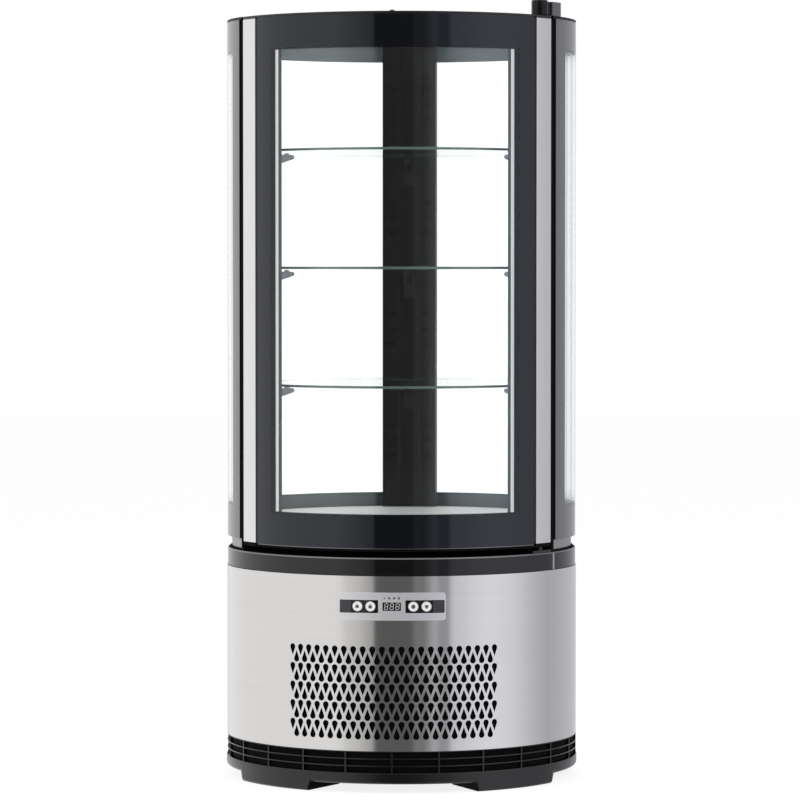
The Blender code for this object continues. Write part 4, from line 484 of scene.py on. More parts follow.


# Skirt: one sheet of brushed stainless steel wrapped round the base, punched on the front with five
# double rows of drop-shaped vents, and cut out behind the control panel. A matt black sheet behind
# the vents is painted shade, for the dark inside the base.

SKIRT_RADIUS, SKIRT_SHEET, SKIRT_END = 0.2250, 0.0010, 157.5
SKIRT_LOW, SKIRT_HIGH = height_span("skirt")
VENT_PITCH, VENT_COLUMNS, VENT_PAIRS, VENT_TOP = 3.09, 23, 5, 0.1828
VENT_PAIR_PITCH, VENT_PAIR_HEIGHT, TIP_MARGIN = 0.0233, 0.0227, 0.0010
DROP_LENGTH, DROP_RADIUS, DROP_POINTS = 0.0146, 0.0039, 26
SHADE_SHEET_RADIUS, SHADE_SHEET_DEPTH, SHADE_SHEET_TURN = 0.2226, 0.0030, 38.5
SHADE_SHEET_LOW, SHADE_SHEET_HIGH = 0.0620, 0.1900
PANEL_CUT, PANEL_CUT_TURN = (0.2205, 0.2440), 16.7
SLANT_STEPS, SIDE_STEPS, HEAD_STEPS = 5, 3, 10


def hoop(inner, outer, low, high, first, last, step=SWEEP_STEP):
    """A bar of rectangular section, bent round the axis from the first bearing to the last."""
    return swept(((inner, low), (outer, low), (outer, high), (inner, high)),
                 bearings_between(first, last, step))


def drop_outline():
    """A drop round its own middle, as (degrees, metres), tip down: the tip, the two lines from it
    that touch the circle, and the rest of the circle, walked at even steps."""
    tip = DROP_LENGTH - DROP_RADIUS
    touch = np.arccos(DROP_RADIUS / tip)
    turns = np.linspace(-np.pi / 2 + touch, 3 * np.pi / 2 - touch, 60)
    circle = DROP_RADIUS * np.stack([np.cos(turns), np.sin(turns)], axis=-1)
    path = np.concatenate([[[0.0, -tip]], circle, [[0.0, -tip]]])
    walked = np.concatenate([[0.0], np.cumsum(np.linalg.norm(np.diff(path, axis=0), axis=1))])
    stops = np.linspace(0.0, walked[-1], DROP_POINTS + 1)[:-1]
    return np.stack([np.degrees(np.interp(stops, walked, path[:, 0]) / SKIRT_RADIUS),
                     np.interp(stops, walked, path[:, 1])], axis=-1)


def ring_patch(outer, inner, rows=2):
    """Rows of points between two outlines of equal count, each a share of the way from the outer to
    the inner one, and the quads that join them."""
    share = np.linspace(0.0, 1.0, rows + 1)[:, None, None]
    points = (outer[None] * (1 - share) + inner[None] * share).reshape(-1, 2)
    return points, grid_faces(rows + 1, len(outer), False, True)


def stamped(patch, bearings, heights):
    """Copies of a flat patch at every pair of a bearing and a height, as one patch."""
    points, faces = patch
    offsets = np.stack(np.meshgrid(bearings, heights), axis=-1).reshape(-1, 2)
    starts = np.arange(len(offsets))[:, None, None] * len(points)
    return (points[None] + offsets[:, None]).reshape(-1, 2), (faces[None] + starts).reshape(-1, 4)


def flat_grid(bearings, heights):
    """A plain patch on a grid of bearings and heights."""
    points = np.stack(np.broadcast_arrays(bearings[:, None], heights[None, :]), axis=-1).reshape(-1, 2)
    return points, grid_faces(len(bearings), len(heights))


def wrapped(patches, radius):
    """Flat patches put together and wrapped round the axis at one radius."""
    points, faces = joined(*patches)
    return around(radius, points[:, 0], points[:, 1]), faces


def vent_field():
    """The punched field. A zigzag seam runs between the tips of each double row, so each drop has
    a five-sided cell of its own; the drops below the seam are the ones above turned over."""
    half = VENT_PITCH / 2
    gap = (VENT_PAIR_PITCH - VENT_PAIR_HEIGHT) / 2
    seam_low, seam_high = -DROP_LENGTH - TIP_MARGIN, DROP_LENGTH - VENT_PAIR_HEIGHT + TIP_MARGIN
    corners = np.array([(0.0, seam_low), (half, seam_high), (half, gap), (-half, gap), (-half, seam_high)])
    steps = (SLANT_STEPS, SIDE_STEPS, HEAD_STEPS, SIDE_STEPS, SLANT_STEPS)
    cell = np.concatenate([start + (end - start) * np.arange(count)[:, None] / count for start, end, count
                           in zip(corners, np.roll(corners, -1, axis=0), steps)])
    upper = ring_patch(cell, drop_outline() - (0.0, DROP_RADIUS))
    lower = (upper[0] * (1.0, -1.0) - (0.0, VENT_PAIR_HEIGHT), upper[1][:, ::-1])
    tops = VENT_TOP - np.arange(VENT_PAIRS) * VENT_PAIR_PITCH
    bearings = (np.arange(VENT_COLUMNS) - (VENT_COLUMNS - 1) / 2) * VENT_PITCH
    patches = [stamped(upper, bearings, tops), stamped(lower, bearings[:-1] + half, tops)]
    share = np.linspace(0.0, 1.0, SLANT_STEPS + 1)[:, None, None]
    side_share = np.linspace(0.0, 1.0, SIDE_STEPS + 1)[None, :, None]
    bottom = -VENT_PAIR_HEIGHT - gap
    for side in (-1, 1):
        edge, inside = side * VENT_COLUMNS / 2 * VENT_PITCH, side * (VENT_COLUMNS - 1) / 2 * VENT_PITCH
        slant = np.array((edge, seam_high)) * (1 - share) + np.array((inside, seam_low)) * share
        foot = np.array((edge, bottom)) * (1 - share) + np.array((inside, bottom)) * share
        corner = (slant * (1 - side_share) + foot * side_share).reshape(-1, 2)
        patches.append(stamped((corner, grid_faces(SLANT_STEPS + 1, SIDE_STEPS + 1)), (0.0,), tops))
    return patches, tops, (gap, seam_high, bottom)


def skirt_skin():
    """The punched field with plain steel on all four sides of it."""
    patches, tops, (gap, seam_high, bottom) = vent_field()
    edge = VENT_COLUMNS / 2 * VENT_PITCH
    field = np.linspace(-edge, edge, VENT_COLUMNS * HEAD_STEPS + 1)
    field_high = tops[0] + gap
    above = np.unique(np.concatenate([[*PANEL_CUT, SKIRT_HIGH], np.linspace(field_high, PANEL_CUT[0], 4)]))
    below = np.linspace(SKIRT_LOW, tops[-1] + bottom, 3)
    cut = np.abs(field) < PANEL_CUT_TURN
    left_of_cut = field[:np.argmax(cut) + 1]
    inside_cut = field[np.argmax(cut):len(field) - np.argmax(cut[::-1])]
    right_of_cut = -left_of_cut[::-1]
    for columns in (left_of_cut, inside_cut, right_of_cut):
        for rows in (above[above <= PANEL_CUT[0]], above[above >= PANEL_CUT[1]]):
            patches.append(flat_grid(columns, rows))
    patches += [flat_grid(columns, np.array(PANEL_CUT)) for columns in (left_of_cut, right_of_cut)]
    patches.append(flat_grid(field, below))
    share = np.linspace(0.0, 1.0, SIDE_STEPS + 1)
    levels = np.concatenate([gap + (seam_high - gap) * share, seam_high + (bottom - seam_high) * share])
    levels = (tops[:, None] + levels).ravel()
    levels = np.unique(np.round(np.concatenate([below, levels, above]), 7))
    patches += [flat_grid(np.linspace(edge, SKIRT_END, 83) * side, levels) for side in (-1, 1)]
    return wrapped(patches, SKIRT_RADIUS)


def brushed_finish(name, colour, roughness, upright=False):
    """Brushed metal: hair-fine lines along the brush, which change the sheen and lift the surface
    by microns, and slow clouds where the pressure of the belt changed."""
    material, shader, place = new_finish(name, colour, roughness, 1.0)
    up, arc = part_of(place, 2), bearing_of(place) * np.radians(SKIRT_RADIUS)
    along, over = (up, arc) if upright else (arc, up)
    hair = speckle(place.node("CombineXYZ", {"X": along * 4.0, "Y": over * 1400.0}), 1.0, 4.0, 0.7)
    streak = speckle(place.node("CombineXYZ", {"X": along * 1.5, "Y": over * 160.0}), 1.0, 2.0)
    (roughness - 0.07 + hair * 0.08 + speckle(place, 5.0) * 0.06).into(shader, "Roughness")
    darker, lighter = ((*(min(1.0, share * part) for part in colour), 1.0) for share in (0.93, 1.06))
    mixed(streak * 0.5 + hair * 0.5, darker, lighter).into(shader, "Base Color")
    grain(shader, hair, 0.12, 0.00004)
    return material


skirt_steel = brushed_finish("skirt_steel", (0.675, 0.665, 0.655), 0.105)
new_piece("skirt_sheet", skirt_skin(), skirt_steel, "brushed_steel", "case", ["skirt"], merge=2e-6,
          sheet=SKIRT_SHEET)
# A matt black sheet behind the vents: painted shade for the dark inside the base.
new_piece("vent_shade_sheet", hoop(SHADE_SHEET_RADIUS - SHADE_SHEET_DEPTH, SHADE_SHEET_RADIUS, SHADE_SHEET_LOW, SHADE_SHEET_HIGH,
                             -SHADE_SHEET_TURN, SHADE_SHEET_TURN), felt_black, "black_plastic", "case", [], edge=0.0005)


# Rear service panel: a curved sheet painted satin black, with rows of cooling slots, the mains socket
# below them, and a row of screws down each side. It closes the gap between the skirt's two ends.

PANEL_START, PANEL_END = 157.8, 202.2
SLOT_LOW, SLOT_HEIGHT, SLOT_PITCH, SLOT_ROWS, SLOT_HALF = 0.150, 0.005, 0.015, 6, 2.25
SLOT_MIDDLES = np.array((168.75, 176.25, 183.75, 191.25))
SOCKET_HALF_TURN, SOCKET_LOW, SOCKET_HIGH = 3.65, 0.0779, 0.1021
SCREW_RADIUS, SCREW_RISE, SCREW_MARGIN, SCREW_ROWS, SCREW_END = 0.0030, 0.0008, 1.7, 4, 0.012


def service_panel():
    """A wall whose open cells are the slots and the socket."""
    bearings = bearings_between(PANEL_START, PANEL_END, extra=(
        *(SLOT_MIDDLES - SLOT_HALF), *(SLOT_MIDDLES + SLOT_HALF),
        180.0 - SOCKET_HALF_TURN, 180.0 + SOCKET_HALF_TURN))
    lows = SLOT_LOW + np.arange(SLOT_ROWS) * SLOT_PITCH
    heights = np.unique(np.concatenate([[SKIRT_LOW, SOCKET_LOW, SOCKET_HIGH, SKIRT_HIGH], lows,
                                        lows + SLOT_HEIGHT]))

    def is_open(bearing, height):
        in_column = (np.abs(bearing[..., None] - SLOT_MIDDLES) < SLOT_HALF).any(axis=-1)
        in_row = ((height[..., None] > lows) & (height[..., None] < lows + SLOT_HEIGHT)).any(axis=-1)
        beside_socket = np.abs(bearing - 180.0) > SOCKET_HALF_TURN
        return (in_column & in_row) | ~(beside_socket | (height < SOCKET_LOW) | (height > SOCKET_HIGH))

    return pierced_wall(bearings, heights, SKIRT_RADIUS, SKIRT_RADIUS - SKIRT_SHEET, is_open)


def painted_finish(name, colour, roughness, **sockets):
    """Powder coat: a soft orange peel, with slightly uneven sheen."""
    material, shader, place = mottled_finish(name, colour, roughness - 0.04, 0.08, 9.0, **sockets)
    grain(shader, speckle(place, 420.0), 0.15, 0.0001)
    return material


def turned(profile, sides=48, hollow=False):
    """A profile of (radius, height) turned about its own axis, so x is radius times cosine and y is
    radius times sine of the turn; a hollow profile closes on itself."""
    profile = np.asarray(profile, float)
    turns = np.linspace(0.0, 2 * np.pi, sides + 1)[:-1, None]
    points = np.stack(np.broadcast_arrays(profile[:, 0] * np.cos(turns), profile[:, 0] * np.sin(turns),
                                          profile[:, 1]), axis=-1)
    return points.reshape(-1, 3), grid_faces(sides, len(profile), True, hollow)


def facing_out(shell, bearing, radius, height):
    """A shell made round +Z, moved to a bearing with its +Z pointing out of the case and +Y up."""
    points, faces = shell
    turn = np.radians(bearing)
    axes = np.array(((np.cos(turn), np.sin(turn), 0.0), (0.0, 0.0, 1.0), (np.sin(turn), -np.cos(turn), 0.0)))
    return (points + (0.0, height, radius)) @ axes, faces


def screw_head(radius, rise):
    """A low dome: at angle a up from the rim, radius cos(a) and height rise sin(a), on a short
    shank, with a round driver recess in the top."""
    arc = np.radians(np.linspace(0.0, 65.0, 6))
    dome = np.column_stack([radius * np.cos(arc), rise * np.sin(arc)])
    recess = dome[-1, 0] * 0.9
    return turned(np.concatenate([[(0.0, -0.0005), (radius, -0.0005)], dome,
                                  [(recess, dome[-1, 1]), (recess * 0.8, 0.0002), (0.0, 0.0002)]]), 24)


satin_black = painted_finish("satin_black_paint", (0.020, 0.020, 0.021), 0.34)
new_piece("service_panel_sheet", service_panel(), satin_black, "black_steel", "case",
          ["rear_service_panel"], edge=0.0002, edge_steps=2)
panel_screws = [facing_out(screw_head(SCREW_RADIUS, SCREW_RISE), bearing, SKIRT_RADIUS, height)
                for bearing in (PANEL_START + SCREW_MARGIN, PANEL_END - SCREW_MARGIN)
                for height in np.linspace(SKIRT_LOW + SCREW_END, SKIRT_HIGH - SCREW_END, SCREW_ROWS)]
screw_black = painted_finish("screw_black", (0.010, 0.010, 0.010), 0.22)
new_piece("service_panel_screws", joined(*panel_screws), screw_black, "black_steel", "case", [], merge=1e-7)


def finer_copy(node, name, finish, slot, body, edge, edge_steps=3):
    """A copy of a CAD node with its loose corners merged and its edges eased."""
    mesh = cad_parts[node].data.copy()
    mesh.name = name
    mesh.materials.clear()
    return enter_piece(name, mesh, finish, slot, body, [node], edge, edge_steps, merge=1e-6)


socket_plastic = moulded_finish("socket_plastic", (0.016, 0.016, 0.017), 0.42, 1300.0, 0.0001)
finer_copy("power_inlet", "mains_socket", socket_plastic, "black_plastic", "case", 0.0004)


# Control panel: a thin satin aluminium bezel laid on the skirt, with three rounded openings over one
# dark moulding: a display in the middle and a pair of buttons in a recess on each side.

BEZEL_TURN, BEZEL_LOW, BEZEL_HIGH = 17.15, 0.2150, 0.2495
BEZEL_FACE, BEZEL_SHEET, BEZEL_CORNER = 0.2257, 0.0006, 0.0035
PANEL_MIDDLE, CELL_SPLIT = 0.2322, 3.6
RECESS_START, RECESS_END, RECESS_HEIGHT, RECESS_CORNER = 4.3, 16.8, 0.0160, 0.0008
WINDOW_TURN, WINDOW_HEIGHT, WINDOW_CORNER = 2.9, 0.0104, 0.0006
EDGE_STEPS = (22, 10)
FASCIA_FACE = 0.2242
BLANK_SPANS, BLANK_HALF_HEIGHT = ((-16.5, -13.1), (13.1, 16.5)), 0.0077
BLANK_SUNK, BLANK_PROUD = 0.0006, 0.0005


def boxed_outline(first, last, low, high, radius, sides=(0, 1)):
    """A rectangle of (bearing, height), anticlockwise, with finer steps near its corners; each
    corner on the left (0) or right (1) side pulls its points onto a quarter circle."""
    def eased(count):
        """Shares from 0 to 1, closer at both ends: half of 1 less the cosine of an even turn."""
        return (1 - np.cos(np.linspace(0.0, np.pi, count + 1)[:-1, None])) / 2

    ends = np.array(((first, low), (last, high)))
    loop = np.array(((first, low), (last, low), (last, high), (first, high)))
    shares = (eased(EDGE_STEPS[0]), eased(EDGE_STEPS[1])) * 2
    points = np.concatenate([start * (1 - share) + end * share
                             for start, end, share in zip(loop, np.roll(loop, -1, axis=0), shares)])
    scale = np.array((np.radians(BEZEL_FACE), 1.0))
    flat = points * scale
    for side in sides:
        for level in (0, 1):
            corner = np.array((ends[side][0], ends[level][1])) * scale
            centre = corner + radius * np.array((1 - 2 * side, 1 - 2 * level))
            near = (np.abs(flat - corner) < radius * 1.0001).all(axis=1)
            out = flat[near] - centre
            flat[near] = centre + radius * out / np.linalg.norm(out, axis=1, keepdims=True)
    return flat / scale


def bezel_skin():
    """Three cells side by side, each a ring between its border and its opening."""
    window = (PANEL_MIDDLE - WINDOW_HEIGHT / 2, PANEL_MIDDLE + WINDOW_HEIGHT / 2)
    recess = (PANEL_MIDDLE - RECESS_HEIGHT / 2, PANEL_MIDDLE + RECESS_HEIGHT / 2)
    patches = []
    for side, way in ((0, -1), (1, 1)):
        border = boxed_outline(*sorted((way * BEZEL_TURN, way * CELL_SPLIT)), BEZEL_LOW, BEZEL_HIGH,
                               BEZEL_CORNER, (side,))
        opening = boxed_outline(*sorted((way * RECESS_START, way * RECESS_END)), *recess, RECESS_CORNER)
        patches.append(ring_patch(border, opening, 4))
    border = boxed_outline(-CELL_SPLIT, CELL_SPLIT, BEZEL_LOW, BEZEL_HIGH, 0.0, ())
    patches.append(ring_patch(border, boxed_outline(-WINDOW_TURN, WINDOW_TURN, *window, WINDOW_CORNER), 4))
    return wrapped(patches, BEZEL_FACE)


bezel_metal = brushed_finish("bezel_aluminium", (0.86, 0.86, 0.88), 0.55)
new_piece("panel_bezel", bezel_skin(), bezel_metal, "satin_aluminium", "case", ["control_bezel"],
          edge=0.00022, merge=2e-6, sheet=BEZEL_SHEET)
fascia_gloss, _, _ = mottled_finish("fascia_gloss", (0.004, 0.004, 0.005), 0.10, 0.08, 60.0)
finer_copy("control_fascia", "panel_moulding", fascia_gloss, "gloss_black", "case", 0.0002, 2)
recess_grey = moulded_finish("recess_grey", (0.035, 0.035, 0.042), 0.40, 1200.0, 0.00008)
for recess_index, (first, last) in enumerate(BLANK_SPANS):
    new_piece(f"panel_blank_{recess_index}",
              hoop(FASCIA_FACE - BLANK_SUNK, FASCIA_FACE + BLANK_PROUD, PANEL_MIDDLE - BLANK_HALF_HEIGHT,
                   PANEL_MIDDLE + BLANK_HALF_HEIGHT, first, last, 1.0),
              recess_grey, "gloss_black", "case", [], edge=0.0003)


# Display: three seven-segment digits behind the dark window. They are unlit or dim, moulded of
# smoked plastic, and sit a hair in front of the moulding.

DIGIT_STEP, DIGIT_LEAN, DIGIT_RADIUS = 1.78, 0.10, FASCIA_FACE + 0.0002
DIGIT_HALF_WIDTH, DIGIT_HALF_HEIGHT = 0.0020, 0.0037
SEGMENT_HALF, SEGMENT_GAP, SEGMENT_DEPTH = 0.00040, 0.0006, 0.0003


def segment_plates():
    """Each segment is a long hexagon; seven of them stand round two squares, three times over."""
    hexagon = np.array(((-1.25, 0.0), (-1.0, 1.0), (1.0, 1.0), (1.25, 0.0), (1.0, -1.0), (-1.0, -1.0)))
    level = hexagon * (DIGIT_HALF_WIDTH - SEGMENT_GAP, SEGMENT_HALF)
    upright = hexagon[:, ::-1] * (SEGMENT_HALF, DIGIT_HALF_HEIGHT / 2 - SEGMENT_GAP)
    flats = [level + (0.0, place * DIGIT_HALF_HEIGHT) for place in (-1, 0, 1)]
    flats += [upright + (side * DIGIT_HALF_WIDTH, place * DIGIT_HALF_HEIGHT / 2)
              for side in (-1, 1) for place in (-1, 1)]
    flats = np.stack(flats)
    flats[..., 0] += flats[..., 1] * DIGIT_LEAN
    digits = np.concatenate([flats + (step * DIGIT_STEP * np.radians(BEZEL_FACE), 0.0)
                             for step in (-1, 0, 1)])
    bearing = np.degrees(digits[..., 0] / DIGIT_RADIUS)
    points = np.stack([around(radius, bearing, PANEL_MIDDLE + digits[..., 1])
                       for radius in (DIGIT_RADIUS, DIGIT_RADIUS - SEGMENT_DEPTH)], axis=1).reshape(-1, 3)
    starts = np.arange(len(digits))[:, None] * 12
    ring = np.arange(6)
    walls = np.stack([ring, (ring + 1) % 6, (ring + 1) % 6 + 6, ring + 6], axis=-1)
    return points, [*(starts + ring).tolist(), *(starts + 6 + ring[::-1]).tolist(),
                    *(starts[:, None] + walls).reshape(-1, 4).tolist()]


new_piece("display_digits", segment_plates(), new_finish("unlit_segments", (0.58, 0.58, 0.58), 0.45)[0],
          "gloss_black", "case", [])


# Buttons: four round white caps, moulded with a flat face, a rolled edge and a grey printed sign in
# a fine ring. Each one slides in its bore.

BUTTON_RADIUS, BUTTON_FACE, BUTTON_BACK = 0.00615, 0.2259, 0.2183
SIGN_RADIUS, SIGN_DEPTH = 0.0046, 0.00012
SIGN_SIZE, SIGN_RING_INNER = SIGN_RADIUS * 0.84, SIGN_RADIUS * 0.90
CAP_INSET, SIGN_INSET = 0.0001, 0.00042
BUTTONS = (("up_button", -11.0, "triangle_up"), ("cooling_button", -6.8, "drop"),
           ("lamp_button", 6.8, "square"), ("down_button", 11.0, "triangle_down"))


def plate_of(outline, thickness):
    """A flat plate on an outline, from its back at 0 to its face."""
    count = len(outline)
    points = np.concatenate([np.column_stack([outline, np.full(count, height)])
                             for height in (0.0, thickness)])
    ring = np.arange(count)
    walls = np.stack([ring, (ring + 1) % count, (ring + 1) % count + count, ring + count], axis=-1)
    return points, [ring[::-1].tolist(), (ring + count).tolist()] + walls.tolist()


def on_circle(degrees):
    """Points on a circle of radius 1: the cosine and the sine of each angle."""
    turns = np.radians(degrees)
    return np.stack([np.cos(turns), np.sin(turns)], axis=-1)


drop_arc = 0.66 * (on_circle(np.linspace(125.0, 415.0, 22)) - (0.0, 0.35))
SIGNS = {"triangle_up": on_circle((90.0, 210.0, 330.0)), "triangle_down": -on_circle((90.0, 210.0, 330.0)),
         "square": 0.72 * np.array(((-1.0, -1.0), (1.0, -1.0), (1.0, 1.0), (-1.0, 1.0))),
         "drop": np.concatenate([[[0.0, 1.15]], drop_arc])}
sign_ring = turned(((SIGN_RING_INNER, 0.0), (SIGN_RADIUS, 0.0), (SIGN_RADIUS, SIGN_DEPTH),
                    (SIGN_RING_INNER, SIGN_DEPTH)), 40, True)
button_white = moulded_finish("button_white", (0.80, 0.80, 0.79), 0.32, 900.0, 0.00006)
sign_grey, _, _ = new_finish("sign_grey", (0.075, 0.078, 0.082), 0.5)
cap_profile = ((0.0, BUTTON_BACK - BUTTON_FACE), (BUTTON_RADIUS, BUTTON_BACK - BUTTON_FACE),
               (BUTTON_RADIUS, -0.0010), (BUTTON_RADIUS * 0.985, -0.0006), (BUTTON_RADIUS * 0.94, -0.0002),
               (BUTTON_RADIUS * 0.86, 0.0), (BUTTON_RADIUS * 0.76, -0.00012), (0.0, -0.00030))
for button, bearing, kind in BUTTONS:
    cap = facing_out(turned(cap_profile), bearing, BUTTON_FACE - CAP_INSET, PANEL_MIDDLE)
    new_piece(f"{button}_cap", cap, button_white, "white_button", button, [button], merge=1e-7)
    sign = joined(sign_ring, plate_of(SIGN_SIZE * SIGNS[kind], SIGN_DEPTH))
    sign = facing_out(sign, bearing, BUTTON_FACE - SIGN_INSET, PANEL_MIDDLE)
    new_piece(f"{button}_sign", sign, sign_grey, "white_button", button, [])


# Indicator marks: four small grey marks printed on the bezel above the display.

MARK_HEIGHT, MARK_DEPTH, MARK_INSET = 0.2427, 0.00015, 0.0001
MARKS = ((-2.35, 0.0006, 0.0018), (-0.80, 0.0015, 0.0015), (0.75, 0.0016, 0.0014), (2.25, 0.0012, 0.0018))

mark_circle = on_circle(np.arange(0.0, 360.0, 30.0))
marks = [facing_out(plate_of(mark_circle * half_sizes, MARK_DEPTH), bearing,
                    BEZEL_FACE - MARK_INSET, MARK_HEIGHT) for bearing, *half_sizes in MARKS]
mark_grey, _, _ = new_finish("mark_grey", (0.07, 0.07, 0.075), 0.5)
new_piece("indicator_marks", joined(*marks), mark_grey, "gloss_black", "case", [])


# Rim ring: a polished black moulding that closes the skirt's top and carries the glass housing. It
# is bent from one length and butted at the right, where a thin steel strip marks the joint. The joint
# is real; the strip's light grey, like the grey on the top edge's outer chamfer, is a painted highlight.

RIM_RADIUS, RIM_INNER_RADIUS, RIM_EDGE, RIM_CHAMFER = 0.2240, 0.1950, 0.0017, 0.0008
RIM_LOW, RIM_HIGH = height_span("base_rim")
JOINT_BEARINGS, JOINT_STEP = (61.4, 62.5), 0.3
JOINT_SUNK, JOINT_PROUD, JOINT_RISE, JOINT_DROP = 0.0006, 0.0002, 0.0004, 0.0010


def polished_finish(name, colour, roughness, **sockets):
    """Polished plastic or lacquer: almost a mirror, with faint wipe marks in its sheen."""
    material, shader, place = new_finish(name, colour, roughness, **sockets)
    stretched = place.node("Mapping", {"Vector": place, "Scale": (1.0, 1.0, 0.3)})
    (roughness + speckle(stretched, 26.0, 3.0) * 0.05).into(shader, "Roughness")
    return material


rim_gloss = polished_finish("rim_gloss", (0.0018, 0.0018, 0.0026), 0.05)
rim_top = painted_finish("rim_top_matt", (0.0025, 0.0025, 0.0028), 0.85, **DULL)
# Light grey on the outer chamfer of the top edge: a painted highlight where the bevel catches the overhead
# light.
rim_edge_highlight = brushed_finish("rim_edge_line", (0.19, 0.19, 0.20), 0.25)
rim_profile = rounded(((RIM_INNER_RADIUS, RIM_LOW), (RIM_RADIUS, RIM_LOW), (RIM_RADIUS, RIM_HIGH - RIM_EDGE),
                       (RIM_RADIUS - RIM_CHAMFER, RIM_HIGH), (RIM_INNER_RADIUS, RIM_HIGH)),
                      (0.0005, 0.0006, 0.0003, 0.0002, 0.0006))
ring = new_piece("rim_ring", swept(rim_profile, bearings_between(0.0, FULL_TURN)), rim_gloss, "gloss_black",
                 "case", ["base_rim"])
refinish(ring, rim_top, lambda middles, normals, lean: normals[:, 2] > 0.98)
refinish(ring, rim_edge_highlight, lambda middles, normals, lean: (lean > 0.1) & (normals[:, 2] > 0.2))
# The joint strip's light grey is a painted highlight on a real joint.
joint_highlight_metal = brushed_finish("joint_painted_highlight", (0.50, 0.50, 0.51), 0.35, upright=True)
new_piece("rim_joint_strip", hoop(RIM_RADIUS - JOINT_SUNK, RIM_RADIUS + JOINT_PROUD, RIM_LOW + JOINT_RISE,
                                  RIM_HIGH - JOINT_DROP, *JOINT_BEARINGS, JOINT_STEP),
          joint_highlight_metal, "brushed_steel", "case", [])


# Neck: a dull aluminium ring, set back under the fixed glass, that the panes stand on, with a matt
# black band at its foot.

NECK_INNER, NECK_RADIUS, NECK_ENDS = 0.2108, 0.2185, (63.3, 296.7)
NECK_FOOT_BAND_INNER, NECK_FOOT_BAND_RADIUS, NECK_FOOT_BAND = 0.2112, 0.2204, 0.0022

neck_low, neck_high = height_span("neck_ring")
neck_metal = brushed_finish("neck_aluminium", (0.36, 0.365, 0.37), 0.42)
new_piece("neck_band", hoop(NECK_INNER, NECK_RADIUS, neck_low, neck_high, *NECK_ENDS), neck_metal,
          "satin_aluminium", "case", ["neck_ring"], edge=0.0005)
new_piece("neck_foot_band", hoop(NECK_FOOT_BAND_INNER, NECK_FOOT_BAND_RADIUS, neck_low, neck_low + NECK_FOOT_BAND, *NECK_ENDS),
          felt_black, "black_plastic", "case", [], edge=0.0004)


# Insulated floor and deck: a foamed white floor with a tub for the cold coil and a black skin round
# it, under a deck of white enamelled steel.

enamel = painted_finish("deck_enamel", (0.94, 0.95, 0.95), 0.45)
finer_copy("deck", "deck_sheet", enamel, "white_enamel", "case", 0.0008)
foam_white = moulded_finish("foam_white", (0.66, 0.67, 0.67), 0.55, 600.0, 0.0002)
floor_moulding = finer_copy("insulated_floor", "floor_moulding", foam_white, "insulated_white", "case",
                            0.0012)
refinish(floor_moulding, felt_black, lambda middles, normals, lean: lean > 0.3)


# Glazing: every unit is a bent outer pane and a bent inner pane with a spacer bar between them. Glossy
# enamel makes the outer pane's border, black on the door and smoke grey at the sides, with a film of
# it on the pane's back as well, and hides the frame behind it. Along the top, the film's back is
# painted paler: a painted reflection of the white ceiling.

GLASS_RADIUS, PANE, INNER_FACE = 0.2240, 0.0040, 0.2135
FILM_FACE, FILM_BACK = 0.21995, 0.21980
PLAIN_EDGE, PLAIN_RIM, GLOSS_INSET = 0.4, 0.0010, 0.0020
DOOR_PRINT_TURN, DOOR_FILM_TURN, DOOR_GLOSS_TURN = 50.7, 42.77, 43.95
DOOR_WINDOW_BOTTOM, DOOR_WINDOW_TOP = 0.3458, 0.9224
SIDE_GLASS, SIDE_FILM_START, SIDE_GLOSS_START = (63.3, 173.17), 73.8, 70.5
SIDE_PRINT_END = SIDE_GLASS[1] - PLAIN_EDGE
SIDE_WINDOW_BOTTOM, SIDE_WINDOW_TOP = 0.3485, 0.9252
GLASS_TINT, GLASS_SHINE, INNER_SHINE = (0.985, 0.991, 0.989), 0.044, 0.012


def clear_finish(name, tint, shine, limit=1.0):
    """Clear glass in thin panes: what is behind shows through, tinted a little at each face. What a
    face mirrors goes from shine to limit by the fifth power of 1 less the cosine of the angle."""
    material = bpy.data.materials.new(name)
    material.use_nodes = True
    tree = material.node_tree
    tree.nodes.remove(tree.nodes["Principled BSDF"])
    place = Signal(tree, tree.nodes.new("ShaderNodeTexCoord").outputs["Object"])
    facing = place.node("LayerWeight", {"Blend": 0.5}, output="Facing")
    through = place.node("BsdfTransparent", {"Color": (*tint, 1.0)})
    mirror = place.node("BsdfGlossy", {"Color": (1.0, 1.0, 1.0, 1.0),
                                       "Roughness": 0.004 + speckle(place, 24.0, 3.0) * 0.022})
    both = place.node("MixShader", {0: shine + (facing ** 5.0) * (limit - shine), 1: through, 2: mirror})
    both.into(tree.nodes["Material Output"], "Surface")
    return material


clear_glass = clear_finish("clear_glass", GLASS_TINT, GLASS_SHINE)
inner_glass = clear_finish("inner_glass", GLASS_TINT, INNER_SHINE)
bonded_glass = clear_finish("bonded_glass", (1.0, 1.0, 1.0), 0.0, 0.0)
black_gloss = polished_finish("black_gloss", (0.0012, 0.0014, 0.0030), 0.012, IOR=1.55,
                              **{"Specular Tint": (0.86, 0.91, 1.0, 1.0)})
smoke_gloss = polished_finish("smoke_gloss", (0.082, 0.083, 0.088), 0.020, IOR=1.68)
MATT = {"Specular IOR Level": 0.0}
black_print = polished_finish("black_print", (0.0020, 0.0023, 0.0045), 0.40, **MATT)
smoke_print = polished_finish("smoke_print", (0.075, 0.075, 0.080), 0.40, **MATT)
print_back = polished_finish("print_back", (0.088, 0.113, 0.130), 0.12)
# The film's back above the window, painted paler: a painted reflection of the white ceiling.
painted_reflection_print_back = polished_finish("painted_reflection_print_back", (0.36, 0.43, 0.48), 0.12)
sealed_edge, _, _ = mottled_finish("sealed_glass_edge", (0.006, 0.008, 0.008), 0.25, 0.15, 250.0)


